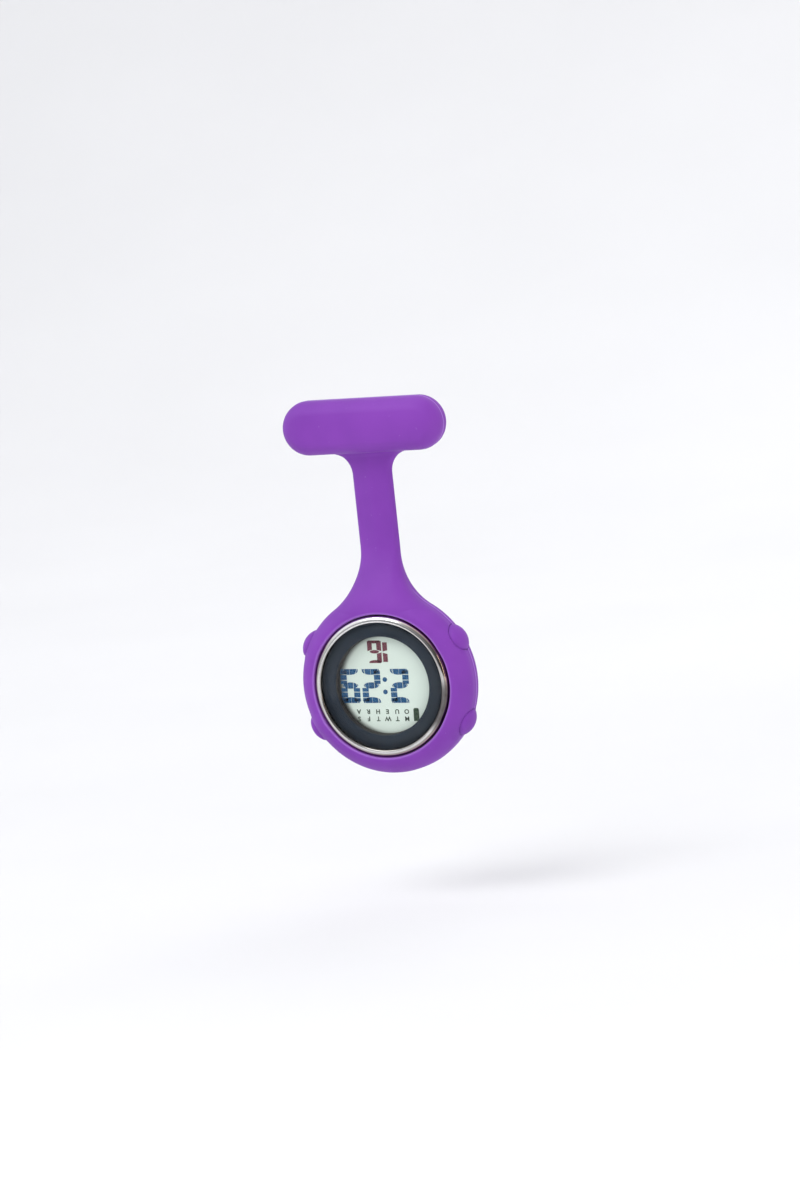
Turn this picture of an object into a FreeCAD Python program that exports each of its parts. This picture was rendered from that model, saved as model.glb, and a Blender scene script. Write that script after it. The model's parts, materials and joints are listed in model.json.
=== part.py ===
"""A digital nurse's fob watch: a round LCD watch in a soft silicone holder that hangs from a brooch pin.

World frame: +X to the wearer's left as the watch is seen from the front, +Y to the back, +Z up.
The origin is the middle of the brooch pin's free span. Millimetres and degrees throughout.
Pieces are drawn in a front frame whose own axes are right, up and out of the watch's face.
"""

import FreeCAD
import Part
import math
import os
import re

import Sketcher

SHEET = "Dimensions"

DIMENSIONS = (
    # name, size, what it is
    ("head_drop", 58.4, "brooch pin down to the watch's axis"),
    ("ring_radius", 20.5, "outside of the silicone ring"),
    ("ring_half_depth", 5.0, "middle of the ring to its front face"),
    ("ring_round", 3.65, "rounding of the ring's outer edges"),
    ("lip_radius", 16.46, "front opening of the ring, round the bezel"),
    ("lip_round", 0.3, "rounding of the front lip"),
    ("back_lip_radius", 16.2, "back opening of the ring"),
    ("neck_width", 9.0, "flat strap between bar and ring"),
    ("neck_thick", 3.0, "thickness of the strap"),
    ("neck_back", 4.2, "back face of the strap behind the ring's middle"),
    ("neck_edge_round", 0.9, "rounding of the strap's edges"),
    ("flare_start", 30.0, "where the strap starts to widen, above the watch's axis"),
    ("bar_length", 38.4, "silicone bar from end to end"),
    ("bar_height", 12.2, "silicone bar from bottom to top"),
    ("bar_front", 3.6, "front face of the bar"),
    ("bar_back", 5.0, "back face of the bar"),
    ("bar_round", 3.0, "rounding of the bar's edges"),
    ("bar_root_round", 4.5, "rounding where the strap leaves the bar"),
    ("plate_length", 32.0, "steel brooch plate"),
    ("plate_height", 4.8, "steel brooch plate"),
    ("plate_thick", 0.6, "steel brooch plate"),
    ("plate_proud", 0.2, "how far the plate stands out of the bar's back"),
    ("plate_slack", 0.1, "gap round the plate in its recess"),
    ("pin_standoff", 1.7, "pin's axis to the plate's back face"),
    ("pin_radius", 0.4, "pin wire"),
    ("pin_point_start", 10.8, "where the pin starts to taper"),
    ("pin_tip", 14.3, "end of the pin's point"),
    ("pin_tip_radius", 0.06, "blunt end of the point"),
    ("hinge_place", 12.0, "hinge rivet, left of the middle"),
    ("eye_radius", 1.3, "flat eye at the pin's root"),
    ("eye_half", 0.7, "half the eye's thickness"),
    ("rivet_radius", 0.5, "hinge rivet"),
    ("rivet_fit", 0.05, "running clearance of the eye on its rivet"),
    ("rivet_head_radius", 0.8, "hinge rivet's heads"),
    ("rivet_head_thick", 0.2, "hinge rivet's heads"),
    ("ear_half_width", 1.2, "hinge ears along the plate"),
    ("ear_thick", 0.5, "hinge ears"),
    ("ear_gap", 0.1, "eye to each ear"),
    ("cheek_place", 11.2, "inner end of the safety catch"),
    ("cheek_thick", 0.5, "fixed cheek at each end of the catch"),
    ("cheek_radius", 1.7, "fixed cheek"),
    ("cheek_foot_half", 1.2, "half the width of the cheek's foot"),
    ("cheek_step", 2.9, "first cheek to second cheek"),
    ("slot_half", 0.55, "half the slot that the pin drops into"),
    ("boss_radius", 1.15, "boss that the sleeve turns on"),
    ("boss_length", 0.3, "boss that the sleeve turns on"),
    ("sleeve_radius", 1.6, "turning sleeve of the catch"),
    ("sleeve_bore", 0.75, "turning sleeve of the catch"),
    ("sleeve_length", 2.2, "turning sleeve of the catch"),
    ("sleeve_gap", 0.1, "sleeve to each cheek"),
    ("sleeve_fit", 0.05, "running clearance of the sleeve on its bosses"),
    ("sleeve_recess", 0.35, "depth of the bores over the bosses"),
    ("tab_reach", 3.1, "sleeve's axis to the end of its thumb tab"),
    ("tab_half", 0.4, "half the tab's thickness"),
    ("tab_length", 1.4, "tab along the pin"),
    ("case_radius", 17.5, "watch case"),
    ("case_back_plane", 4.2, "case's back face behind the ring's middle"),
    ("case_front_plane", 3.6, "case's front shoulder"),
    ("cavity_radius", 14.0, "inside of the case"),
    ("gasket_radius", 14.5, "outside of the back gasket"),
    ("gasket_thick", 0.4, "back gasket"),
    ("seat_outer", 14.4, "raised seat under dial and lens"),
    ("seat_inner", 13.0, "raised seat under dial and lens"),
    ("seat_plane", 4.25, "raised seat under dial and lens"),
    ("seat_thick", 0.9, "raised seat under dial and lens"),
    ("bezel_inner", 14.46, "chrome bezel"),
    ("bezel_outer", 16.1, "chrome bezel"),
    ("bezel_shoulder", 4.3, "where the bezel's curve starts"),
    ("bezel_crest", 5.45, "highest line of the bezel"),
    ("bezel_outer_curve", 1.15, "bezel's outer curve"),
    ("bezel_inner_curve", 0.49, "bezel's inner curve"),
    ("dial_inner", 11.15, "window in the grey dial ring"),
    ("dial_thick", 0.3, "grey dial ring"),
    ("lens_thick", 0.75, "clear lens"),
    ("lens_edge", 0.15, "bevel on the lens"),
    ("spacer_inner", 11.3, "dark spacer between dial and display"),
    ("spacer_outer", 12.9, "dark spacer between dial and display"),
    ("display_plane", 2.6, "front of the display glass"),
    ("display_thick", 1.6, "display glass"),
    ("display_radius", 13.2, "display glass"),
    ("display_flat", 12.6, "middle of the display to its contact ledges"),
    ("reflector_radius", 10.3, "reflector behind the display"),
    ("reflector_thick", 0.2, "reflector behind the display"),
    ("frame_radius", 13.9, "module frame"),
    ("frame_inner", 10.4, "module frame"),
    ("frame_rim", 13.3, "inside of the module frame's rim"),
    ("board_front", 0.9, "circuit board's front face behind the ring's middle"),
    ("board_thick", 0.8, "circuit board"),
    ("board_radius", 12.9, "circuit board"),
    ("zebra_place", 11.8, "contact strips above and below the middle"),
    ("zebra_length", 9.0, "contact strip"),
    ("zebra_width", 1.2, "contact strip"),
    ("zebra_slack", 0.1, "contact strip in its slot"),
    ("chip_place", 7.2, "chip, right of and below the middle"),
    ("chip_radius", 2.6, "epoxy drop over the chip"),
    ("chip_rise", 1.1, "epoxy drop over the chip"),
    ("crystal_radius", 1.0, "quartz crystal's can"),
    ("crystal_length", 6.0, "quartz crystal's can"),
    ("crystal_start", -4.0, "crystal's left end"),
    ("crystal_place", 10.0, "crystal below the middle"),
    ("cell_radius", 8.0, "button cell"),
    ("cell_thick", 2.0, "button cell"),
    ("cell_place", 2.5, "cell, left of and above the middle"),
    ("cell_rim_radius", 7.0, "raised face of the cell"),
    ("cell_rim_thick", 0.2, "raised face of the cell"),
    ("strap_width", 3.0, "cell strap"),
    ("strap_thick", 0.2, "cell strap"),
    ("strap_gap", 0.15, "cell strap's legs from the cell"),
    ("buzzer_radius", 5.5, "piezo disc"),
    ("buzzer_thick", 0.2, "piezo disc"),
    ("buzzer_right", 3.5, "piezo disc from the middle"),
    ("buzzer_down", 5.5, "piezo disc from the middle"),
    ("contact_right", 2.0, "buzzer's contact spring from the middle"),
    ("contact_down", 7.2, "buzzer's contact spring from the middle"),
    ("contact_coil", 0.6, "buzzer's contact spring, middle of the wire"),
    ("back_radius", 16.0, "steel case back"),
    ("back_thick", 0.6, "steel case back"),
    ("back_step_radius", 12.4, "raised middle of the case back"),
    ("back_step", 0.15, "raised middle of the case back"),
    ("screw_place", 15.1, "case screws from the middle"),
    ("screw_radius", 0.5, "case screws"),
    ("screw_depth", 2.2, "case screws in the back plate and case"),
    ("screw_head_radius", 0.8, "case screws"),
    ("screw_head_rise", 0.2, "case screws"),
    ("screw_slot", 0.22, "screw's driver slot"),
    ("screw_slot_depth", 0.15, "screw's driver slot"),
    ("button_angle", 28.5, "buttons above and below the level line"),
    ("pad_radius", 3.25, "soft button"),
    ("pad_slack", 0.2, "soft button in its hole"),
    ("pad_root", 18.4, "inner face of the button"),
    ("pad_edge", 20.0, "edge of the button's dome"),
    ("pad_crown", 21.5, "top of the button's dome"),
    ("push_travel", 0.7, "how far a button goes in"),
    ("cap_radius", 1.6, "plunger's head"),
    ("cap_root", 16.6, "underside of the plunger's head"),
    ("well_radius", 1.9, "well in the case round the plunger's head"),
    ("well_floor", 15.4, "well in the case round the plunger's head"),
    ("stem_radius", 0.5, "plunger's stem"),
    ("stem_tip", 13.3, "inner end of the plunger"),
    ("stem_fit", 0.05, "running clearance of the stem"),
    ("clip_radius", 0.8, "retaining clip on the stem"),
    ("clip_place", 13.65, "inner face of the clip"),
    ("clip_thick", 0.25, "retaining clip on the stem"),
    ("wire_radius", 0.1, "spring wire"),
    ("coil_radius", 1.1, "plunger's spring, middle of the wire"),
    ("coil_pitch", 0.4, "spring"),
    ("spring_slack", 0.06, "gap at each end of a plunger's spring"),
    ("leaf_face", 12.45, "contact leaf's outer face"),
    ("leaf_thick", 0.15, "contact leaf"),
    ("leaf_width", 1.6, "contact leaf"),
    ("leaf_rise", 1.4, "contact leaf above the board"),
    ("leaf_foot", 1.1, "contact leaf's foot"),
    ("notch_start", 11.2, "notch in the module frame for a leaf and a plunger"),
    ("notch_width", 3.0, "notch in the module frame for a leaf and a plunger"),
)

doc = FreeCAD.newDocument("FobWatch")
sheet = doc.addObject("Spreadsheet::Sheet", SHEET)
for row, (alias, size, meaning) in enumerate(DIMENSIONS, start=1):
    sheet.set(f"A{row}", meaning)
    sheet.set(f"B{row}", str(size))
    sheet.setAlias(f"B{row}", alias)
doc.recompute()

# Distances made of the driving ones
PIN_DEPTH = "(bar_back + plate_proud + pin_standoff)"
PLATE_BACK = "(bar_back + plate_proud)"
BOARD_BACK = "(board_front + board_thick)"
DISPLAY_BACK = "(display_plane - display_thick)"
FLARE_ROUND = (
    "((neck_width^2 / 4 + flare_start^2 - ring_radius^2) / (2 * ring_radius - neck_width))"
)

LEFT, RIGHT = 1, -1  # which way an arc in an outline turns
SIDES = {"upper_right": 1, "upper_left": 2, "lower_left": 3, "lower_right": 4}


def bound(formula):
    """The formula with each dimension's name pointing at its cell."""
    return re.sub(r"\b([a-z]\w*)\b(?!\()", SHEET + r".\1", str(formula))


def number(formula):
    """What the formula comes to."""
    return float(sheet.evalExpression(bound(formula)))


def origin_plane(body, role):
    """One of a body's own planes."""
    return next(item for item in body.Origin.OriginFeatures if item.Role == role)


def new_body(name):
    """An empty body in the front frame: its X is right, its Y is up and its Z is out of the face."""
    body = doc.addObject("PartDesign::Body", name)
    body.Label = name
    return body


def face_front(piece, drop="0", depth="0"):
    """Puts a piece that was drawn in the front frame into the world, below the pin's axis by drop."""
    piece.Placement.Rotation = FreeCAD.Rotation(FreeCAD.Vector(1, 0, 0), 90)
    piece.setExpression("Placement.Base.y", bound(f"-{PIN_DEPTH} + {depth}"))
    piece.setExpression("Placement.Base.z", bound(f"-({drop})"))
    return piece


def new_sketch(body, name, role="XY_Plane", height="0"):
    """A sketch on one of the body's own planes, or that far along the plane's normal."""
    sketch = body.newObject("Sketcher::SketchObject", name)
    sketch.AttachmentSupport = [(origin_plane(body, role), "")]
    sketch.MapMode = "FlatFace"
    sketch.setExpression("AttachmentOffset.Base.z", bound(height))
    return sketch


def arc_between(start, end, radius, turn):
    """The short arc from start to end that turns left or right."""
    chord = end - start
    middle = (start + end) * 0.5
    side = FreeCAD.Vector(-chord.y, chord.x, 0).normalize() * turn
    centre = middle + side * math.sqrt(max(radius**2 - chord.Length**2 / 4, 0))
    outward = (middle - centre).normalize() if middle != centre else side * -1
    return Part.Arc(start, centre + outward * radius, end)


def draw(sketch, corners):
    """Draws a closed outline with every corner tied to the sheet.

    A corner is (x, y). Where the side that arrives there is an arc, it is (x, y, radius, turn).
    """
    places = [FreeCAD.Vector(number(c[0]), number(c[1]), 0) for c in corners]
    first = sketch.GeometryCount
    ends = []
    for index, corner in enumerate(corners):
        start, end = places[index - 1], places[index]
        if len(corner) == 2:
            sketch.addGeometry(Part.LineSegment(start, end), False)
            ends.append((1, 2))
        else:
            arc = arc_between(start, end, number(corner[2]), corner[3])
            sketch.addGeometry(arc, False)
            ends.append((1, 2) if corner[3] == LEFT else (2, 1))
    for index, corner in enumerate(corners):
        side = first + index
        following = (index + 1) % len(corners)
        joint = Sketcher.Constraint(
            "Coincident", side, ends[index][1], first + following, ends[following][0]
        )
        sketch.addConstraint(joint)
        for direction, formula in (("DistanceX", corner[0]), ("DistanceY", corner[1])):
            tie = Sketcher.Constraint(direction, -1, 1, side, ends[index][1], number(formula))
            bind(sketch, tie, formula)
        if len(corner) == 4:
            bind(sketch, Sketcher.Constraint("Radius", side, number(corner[2])), corner[2])


def bind(sketch, constraint, formula):
    """Adds a constraint whose size is read from the sheet."""
    place = sketch.addConstraint(constraint)
    sketch.setExpression(f"Constraints[{place}]", bound(formula))


def draw_circle(sketch, radius, x="0", y="0"):
    """Draws a circle with its middle and radius tied to the sheet."""
    middle = FreeCAD.Vector(number(x), number(y), 0)
    circle = Part.Circle(middle, FreeCAD.Vector(0, 0, 1), number(radius))
    index = sketch.addGeometry(circle, False)
    bind(sketch, Sketcher.Constraint("DistanceX", -1, 1, index, 3, middle.x), x)
    bind(sketch, Sketcher.Constraint("DistanceY", -1, 1, index, 3, middle.y), y)
    bind(sketch, Sketcher.Constraint("Radius", index, number(radius)), radius)


def draw_box(sketch, left, bottom, right, top):
    """Draws an upright rectangle."""
    draw(sketch, [(right, bottom), (right, top), (left, top), (left, bottom)])


def extrude(body, kind, sketch, length, name, reverse=False):
    """A Pad or a Pocket of a sketch. A Pad goes along the sketch's normal, a Pocket against it."""
    feature = body.newObject(f"PartDesign::{kind}", name)
    feature.Profile = (sketch, [""])
    feature.setExpression("Length", bound(length))
    feature.Reversed = reverse
    return feature


def spin(body, kind, sketch, name, axis="V_Axis"):
    """A full Revolution or Groove of a sketch about one of its own axes."""
    feature = body.newObject(f"PartDesign::{kind}", name)
    feature.Profile = (sketch, [""])
    feature.ReferenceAxis = (sketch, [axis])
    feature.Angle = 360
    return feature


def disc(body, name, radius, height, thick, x="0", y="0"):
    """A round plate whose back face is at that height."""
    sketch = new_sketch(body, f"{name}_outline", height=height)
    draw_circle(sketch, radius, x, y)
    return extrude(body, "Pad", sketch, thick, name)


def turned(name, profile):
    """A body made by turning a profile of (radius, height) corners about the watch's axis."""
    body = new_body(name)
    sketch = new_sketch(body, f"{name}_profile", "XZ_Plane")
    draw(sketch, profile)
    spin(body, "Revolution", sketch, f"{name}_turned")
    return body


def flat_ring(name, inner, outer, height, thick):
    """A ring with a rectangular section."""
    top = f"{height} + {thick}"
    return turned(name, [(outer, height), (outer, top), (inner, top), (inner, height)])


def repeat_round(body, feature, count, name):
    """Repeats a feature evenly about the watch's axis."""
    pattern = body.newObject("PartDesign::PolarPattern", name)
    pattern.Originals = [feature]
    pattern.Axis = (origin_axis(body, "Z_Axis"), [""])
    pattern.Angle = 360
    pattern.Occurrences = count
    body.Tip = pattern
    return pattern


def origin_axis(body, role):
    """One of a body's own axes."""
    return next(item for item in body.Origin.OriginFeatures if item.Role == role)


def mirror(body, features, role, name):
    """Repeats features on the other side of one of the body's planes."""
    mirrored = body.newObject("PartDesign::Mirrored", name)
    mirrored.Originals = features
    mirrored.MirrorPlane = (origin_plane(body, role), [""])
    body.Tip = mirrored
    return mirrored


def round_edges(body, base, radius, chosen, name):
    """A fillet on the edges for which chosen(edge) is true."""
    doc.recompute()
    names = [f"Edge{i}" for i, edge in enumerate(base.Shape.Edges, start=1) if chosen(edge)]
    fillet = body.newObject("PartDesign::Fillet", name)
    fillet.Base = (base, names)
    fillet.setExpression("Radius", bound(radius))
    return fillet


def level(edge, height):
    """Whether an edge lies wholly at one height of the front frame."""
    box = edge.BoundBox
    return abs(box.ZMin - height) < 1e-4 and abs(box.ZMax - height) < 1e-4


def button_direction(side):
    """The angle of a button's axis, anticlockwise from +X as seen from the front."""
    angle = number("button_angle")
    return {1: angle, 2: 180 - angle, 3: 180 + angle, 4: -angle}[SIDES[side]]


def button_tilt(side):
    """The turn that takes +Z to a button's axis."""
    return FreeCAD.Rotation(FreeCAD.Vector(0, 1, 0), 90 - button_direction(side))


def button_frame(side, start):
    """A place on a button's axis, that far from the watch's middle, with +Z outward."""
    tilt = button_tilt(side)
    middle = FreeCAD.Vector(0, -number(PIN_DEPTH), -number("head_drop"))
    return FreeCAD.Placement(middle + tilt.multVec(FreeCAD.Vector(0, 0, number(start))), tilt)


def on_button_axis(piece, side):
    """Puts a piece whose Z is a button's axis, with the watch's middle at its origin, into place."""
    piece.Placement.Rotation = button_tilt(side)
    piece.setExpression("Placement.Base.y", bound(f"-{PIN_DEPTH}"))
    piece.setExpression("Placement.Base.z", bound("-head_drop"))
    return piece


def button_tools(name, radius, start, length):
    """One cylinder on each button's axis, to be cut away from a piece."""
    cylinders = []
    for side in SIDES:
        cylinder = doc.addObject("Part::Cylinder", f"{name}_{side}")
        cylinder.setExpression("Radius", bound(radius))
        cylinder.setExpression("Height", bound(length))
        cylinder.Placement = button_frame(side, start)
        cylinders.append(cylinder)
    return cylinders


def cut_away(name, base, tools):
    """A piece less its tools."""
    base.Label = f"{name}_blank"
    joined = doc.addObject("Part::MultiFuse", f"{name}_tools")
    joined.Shapes = tools
    piece = doc.addObject("Part::Cut", name)
    piece.Base = base
    piece.Tool = joined
    piece.Label = name
    return piece


# ---- the silicone holder ----


def holder_bar():
    """The bar: a long round-ended block, with the root of the strap and a recess for the brooch plate."""
    body = new_body("holder_bar")
    outline = new_sketch(body, "bar_outline", height="-bar_back")
    reach, half = "bar_length / 2", "bar_height / 2"
    flat = f"({reach} - {half})"
    draw(
        outline,
        [
            (flat, f"-{half}"),
            (reach, "0", half, LEFT),
            (flat, half, half, LEFT),
            (f"-{flat}", half),
            (f"-{reach}", "0", half, LEFT),
            (f"-{flat}", f"-{half}", half, LEFT),
        ],
    )
    block = extrude(body, "Pad", outline, "bar_back + bar_front", "bar_block")
    faces = (-number("bar_back"), number("bar_front"))
    round_edges(
        body,
        block,
        "bar_round",
        lambda edge: any(level(edge, height) for height in faces),
        "bar_rounding",
    )
    root = new_sketch(body, "strap_root", height="-neck_back")
    side, wide = "neck_width / 2", "(neck_width / 2 + bar_root_round)"
    draw(
        root,
        [
            (side, f"-({half} + bar_root_round)"),
            (wide, f"-({half})", "bar_root_round", RIGHT),
            (wide, "0"),
            (f"-{wide}", "0"),
            (f"-{wide}", f"-({half})"),
            (f"-({side})", f"-({half} + bar_root_round)", "bar_root_round", RIGHT),
        ],
    )
    extrude(body, "Pad", root, "neck_thick", "strap_root_plate")
    recess = new_sketch(body, "plate_recess", height="-bar_back")
    plate_outline(recess, "plate_slack")
    extrude(body, "Pocket", recess, "plate_thick - plate_proud", "plate_recess_cut", reverse=True)
    return face_front(body)


def plate_outline(sketch, slack):
    """The brooch plate's outline with rounded corners, or one that is larger all round by slack."""
    reach, half = f"(plate_length / 2 + {slack})", f"(plate_height / 2 + {slack})"
    corner = f"(plate_height / 4 + {slack})"
    x, y = f"({reach} - {corner})", f"({half} - {corner})"
    draw(
        sketch,
        [
            (x, f"-{half}"),
            (reach, f"-{y}", corner, LEFT),
            (reach, y),
            (x, half, corner, LEFT),
            (f"-{x}", half),
            (f"-{reach}", y, corner, LEFT),
            (f"-{reach}", f"-{y}"),
            (f"-{x}", f"-{half}", corner, LEFT),
        ],
    )


def holder_neck():
    """The flat strap between the bar's root and the ring's flare, which bends."""
    body = new_body("holder_neck")
    outline = new_sketch(body, "neck_outline", height="-neck_back")
    side = "neck_width / 2"
    draw_box(
        outline,
        f"-{side}",
        "-(head_drop - flare_start)",
        side,
        "-(bar_height / 2 + bar_root_round)",
    )
    strap = extrude(body, "Pad", outline, "neck_thick", "neck_strap")
    front = number("neck_thick - neck_back")
    half = number(side)

    def long_front_edge(edge):
        return level(edge, front) and abs(abs(edge.CenterOfMass.x) - half) < 1e-4

    round_edges(body, strap, "neck_edge_round", long_front_edge, "neck_rounding")
    return face_front(body)


def holder_ring():
    """The ring that grips the watch, with the flare that carries it and four button holes."""
    round_start = "(ring_half_depth - ring_round)"
    shoulder = "(ring_radius - ring_round)"
    body = turned(
        "holder_ring_blank",
        [
            (shoulder, "-ring_half_depth"),
            ("ring_radius", f"-{round_start}", "ring_round", LEFT),
            ("ring_radius", round_start),
            (shoulder, "ring_half_depth", "ring_round", LEFT),
            ("lip_radius + lip_round", "ring_half_depth"),
            ("lip_radius", "ring_half_depth - lip_round", "lip_round", LEFT),
            ("lip_radius", "0"),
            ("back_lip_radius", "0"),
            ("back_lip_radius", "-ring_half_depth"),
        ],
    )
    flare = new_sketch(body, "flare_outline", height="-neck_back")
    side = "neck_width / 2"
    # the flare's arcs leave the strap in line and meet the ring in line, one arc-radius out from it
    share = f"(ring_radius / (ring_radius + {FLARE_ROUND}))"
    x, y = f"(({side} + {FLARE_ROUND}) * {share})", f"(flare_start * {share})"
    draw(
        flare,
        [
            (x, y),
            (side, "flare_start", FLARE_ROUND, RIGHT),
            (f"-{side}", "flare_start"),
            (f"-{x}", y, FLARE_ROUND, RIGHT),
        ],
    )
    extrude(body, "Pad", flare, "neck_thick", "flare_plate")
    cavity = new_sketch(body, "cavity_profile", "XZ_Plane")
    draw_box(cavity, "0", "-case_back_plane", "case_radius", "case_front_plane")
    spin(body, "Groove", cavity, "cavity")
    face_front(body, "head_drop")
    reach = "pad_crown - cavity_radius"
    holes = button_tools("pad_hole", "pad_radius + pad_slack", "cavity_radius", reach)
    return cut_away("holder_ring", body, holes)


def button_pad(side):
    """One soft button of the ring, domed, on its own axis."""
    dome = "((pad_radius^2 + (pad_crown - pad_edge)^2) / (2 * (pad_crown - pad_edge)))"
    body = turned(
        f"button_pad_{side}",
        [
            ("0", "pad_root"),
            ("pad_radius", "pad_root"),
            ("pad_radius", "pad_edge"),
            ("0", "pad_crown", dome, LEFT),
        ],
    )
    return on_button_axis(body, side)


# ---- the brooch ----


def brooch_plate():
    """The steel plate with two hinge ears and the two slotted cheeks of the safety catch."""
    body = new_body("brooch_plate")
    outline = new_sketch(body, "plate_shape", height=f"-{PLATE_BACK}")
    plate_outline(outline, "0")
    extrude(body, "Pad", outline, "plate_thick", "plate")
    ear_start = "(eye_half + ear_gap)"
    ear = new_sketch(body, "ear_shape", "XZ_Plane", f"-{ear_start}")
    left, right = "(-hinge_place - ear_half_width)", "(-hinge_place + ear_half_width)"
    draw(
        ear,
        [
            (left, f"-{PIN_DEPTH}"),
            ("-hinge_place", f"-{PIN_DEPTH} - ear_half_width", "ear_half_width", LEFT),
            (right, f"-{PIN_DEPTH}", "ear_half_width", LEFT),
            (right, f"-{PLATE_BACK}"),
            (left, f"-{PLATE_BACK}"),
        ],
    )
    draw_circle(ear, "rivet_radius", "-hinge_place", f"-{PIN_DEPTH}")
    plate_ear = extrude(body, "Pad", ear, "ear_thick", "upper_ear", reverse=True)
    mirror(body, [plate_ear], "XZ_Plane", "lower_ear")
    for end, start, inward in (("inner", "cheek_place", False), ("outer", "cheek_place + cheek_step", True)):
        cheek = new_sketch(body, f"{end}_cheek_shape", "YZ_Plane", start)
        draw(cheek, cheek_outline())
        extrude(body, "Pad", cheek, "cheek_thick", f"{end}_cheek")
        face = start if inward else f"{start} + cheek_thick"
        boss = new_sketch(body, f"{end}_boss_shape", "YZ_Plane", face)
        draw(boss, slotted_disc("boss_radius", "slot_half", f"-{PIN_DEPTH}"))
        extrude(body, "Pad", boss, "boss_length", f"{end}_boss", reverse=inward)
    return face_front(body)


def cheek_outline():
    """A cheek of the catch: a foot on the plate, then a disc with a slot that is open to the back."""
    rise = "sqrt(cheek_radius^2 - cheek_foot_half^2)"
    fall = "sqrt(cheek_radius^2 - slot_half^2)"
    foot = [
        ("cheek_foot_half", f"-{PLATE_BACK}"),
        ("-cheek_foot_half", f"-{PLATE_BACK}"),
        ("-cheek_foot_half", f"-{PIN_DEPTH} + {rise}"),
        ("-slot_half", f"-{PIN_DEPTH} - {fall}", "cheek_radius", LEFT),
    ]
    back = [
        ("slot_half", f"-{PIN_DEPTH} - {fall}"),
        ("cheek_foot_half", f"-{PIN_DEPTH} + {rise}", "cheek_radius", LEFT),
    ]
    return foot + slot_bottom(f"-{PIN_DEPTH}", "slot_half") + back


def slot_bottom(height, half):
    """The round bottom of a slot that comes in from below."""
    return [
        (f"-{half}", height),
        ("0", f"{height} + {half}", half, RIGHT),
        (half, height, half, RIGHT),
    ]


def slotted_disc(outer, bore, height):
    """A C with a bore, open below through a slot as wide as the pin needs."""
    fall = f"sqrt({outer}^2 - slot_half^2)"
    shape = [(f"-slot_half", f"{height} - {fall}")]
    if bore == "slot_half":
        shape += slot_bottom(height, bore)
    else:
        inside = f"sqrt({bore}^2 - slot_half^2)"
        shape += [
            ("-slot_half", f"{height} - {inside}"),
            (f"-{bore}", height, bore, RIGHT),
            ("0", f"{height} + {bore}", bore, RIGHT),
            (bore, height, bore, RIGHT),
            ("slot_half", f"{height} - {inside}", bore, RIGHT),
        ]
    shape += [
        ("slot_half", f"{height} - {fall}"),
        (outer, height, outer, LEFT),
        ("0", f"{height} + {outer}", outer, LEFT),
        (f"-{outer}", height, outer, LEFT),
    ]
    first = shape.pop(0)
    return shape + [(*first, outer, LEFT)]


def hinge_rivet():
    """The rivet through the ears and the pin's eye."""
    end = "(eye_half + ear_gap + ear_thick)"
    tall = f"({end} + rivet_head_thick)"
    body = turned(
        "hinge_rivet",
        [
            ("0", f"-{tall}"),
            ("rivet_head_radius", f"-{tall}"),
            ("rivet_head_radius", f"-{end}"),
            ("rivet_radius", f"-{end}"),
            ("rivet_radius", end),
            ("rivet_head_radius", end),
            ("rivet_head_radius", tall),
            ("0", tall),
        ],
    )
    body.setExpression("Placement.Base.x", bound("-hinge_place"))
    return body


def pin_stem():
    """The pin: a flat eye on the rivet, a straight wire and a point."""
    body = new_body("pin_stem")
    wire = new_sketch(body, "wire_profile")
    draw(
        wire,
        [
            ("-hinge_place + rivet_radius + 2 * rivet_fit", "0"),
            ("pin_tip", "0"),
            ("pin_tip", "pin_tip_radius"),
            ("pin_point_start", "pin_radius"),
            ("-hinge_place + rivet_radius + 2 * rivet_fit", "pin_radius"),
        ],
    )
    spin(body, "Revolution", wire, "wire", "H_Axis")
    eye = new_sketch(body, "eye_shape", "XZ_Plane", "-eye_half")
    draw_circle(eye, "eye_radius", "-hinge_place")
    extrude(body, "Pad", eye, "2 * eye_half", "eye")
    bore = new_sketch(body, "eye_bore_shape", "XZ_Plane", "eye_half")
    draw_circle(bore, "rivet_radius + rivet_fit", "-hinge_place")
    extrude(body, "Pocket", bore, "2 * eye_half", "eye_bore")
    return face_front(body, depth=PIN_DEPTH)


def safety_catch():
    """The turning sleeve that locks the pin in, with its thumb tab."""
    body = new_body("safety_catch")
    start = "(cheek_place + cheek_thick + sleeve_gap)"
    shape = new_sketch(body, "sleeve_shape", "YZ_Plane", start)
    draw(shape, slotted_disc("sleeve_radius", "sleeve_bore", "0"))
    extrude(body, "Pad", shape, "sleeve_length", "sleeve")
    tab = new_sketch(body, "tab_shape", "YZ_Plane", f"{start} + (sleeve_length - tab_length) / 2")
    draw_box(tab, "(sleeve_bore + sleeve_radius) / 2", "-tab_half", "tab_reach", "tab_half")
    extrude(body, "Pad", tab, "tab_length", "tab")
    ends = (("inner", start, True), ("outer", f"{start} + sleeve_length", False))
    for end, face, reverse in ends:
        recess = new_sketch(body, f"{end}_recess_shape", "YZ_Plane", face)
        draw_circle(recess, "boss_radius + sleeve_fit")
        extrude(body, "Pocket", recess, "sleeve_recess", f"{end}_recess", reverse)
    return body


# ---- the watch's case ----


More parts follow.
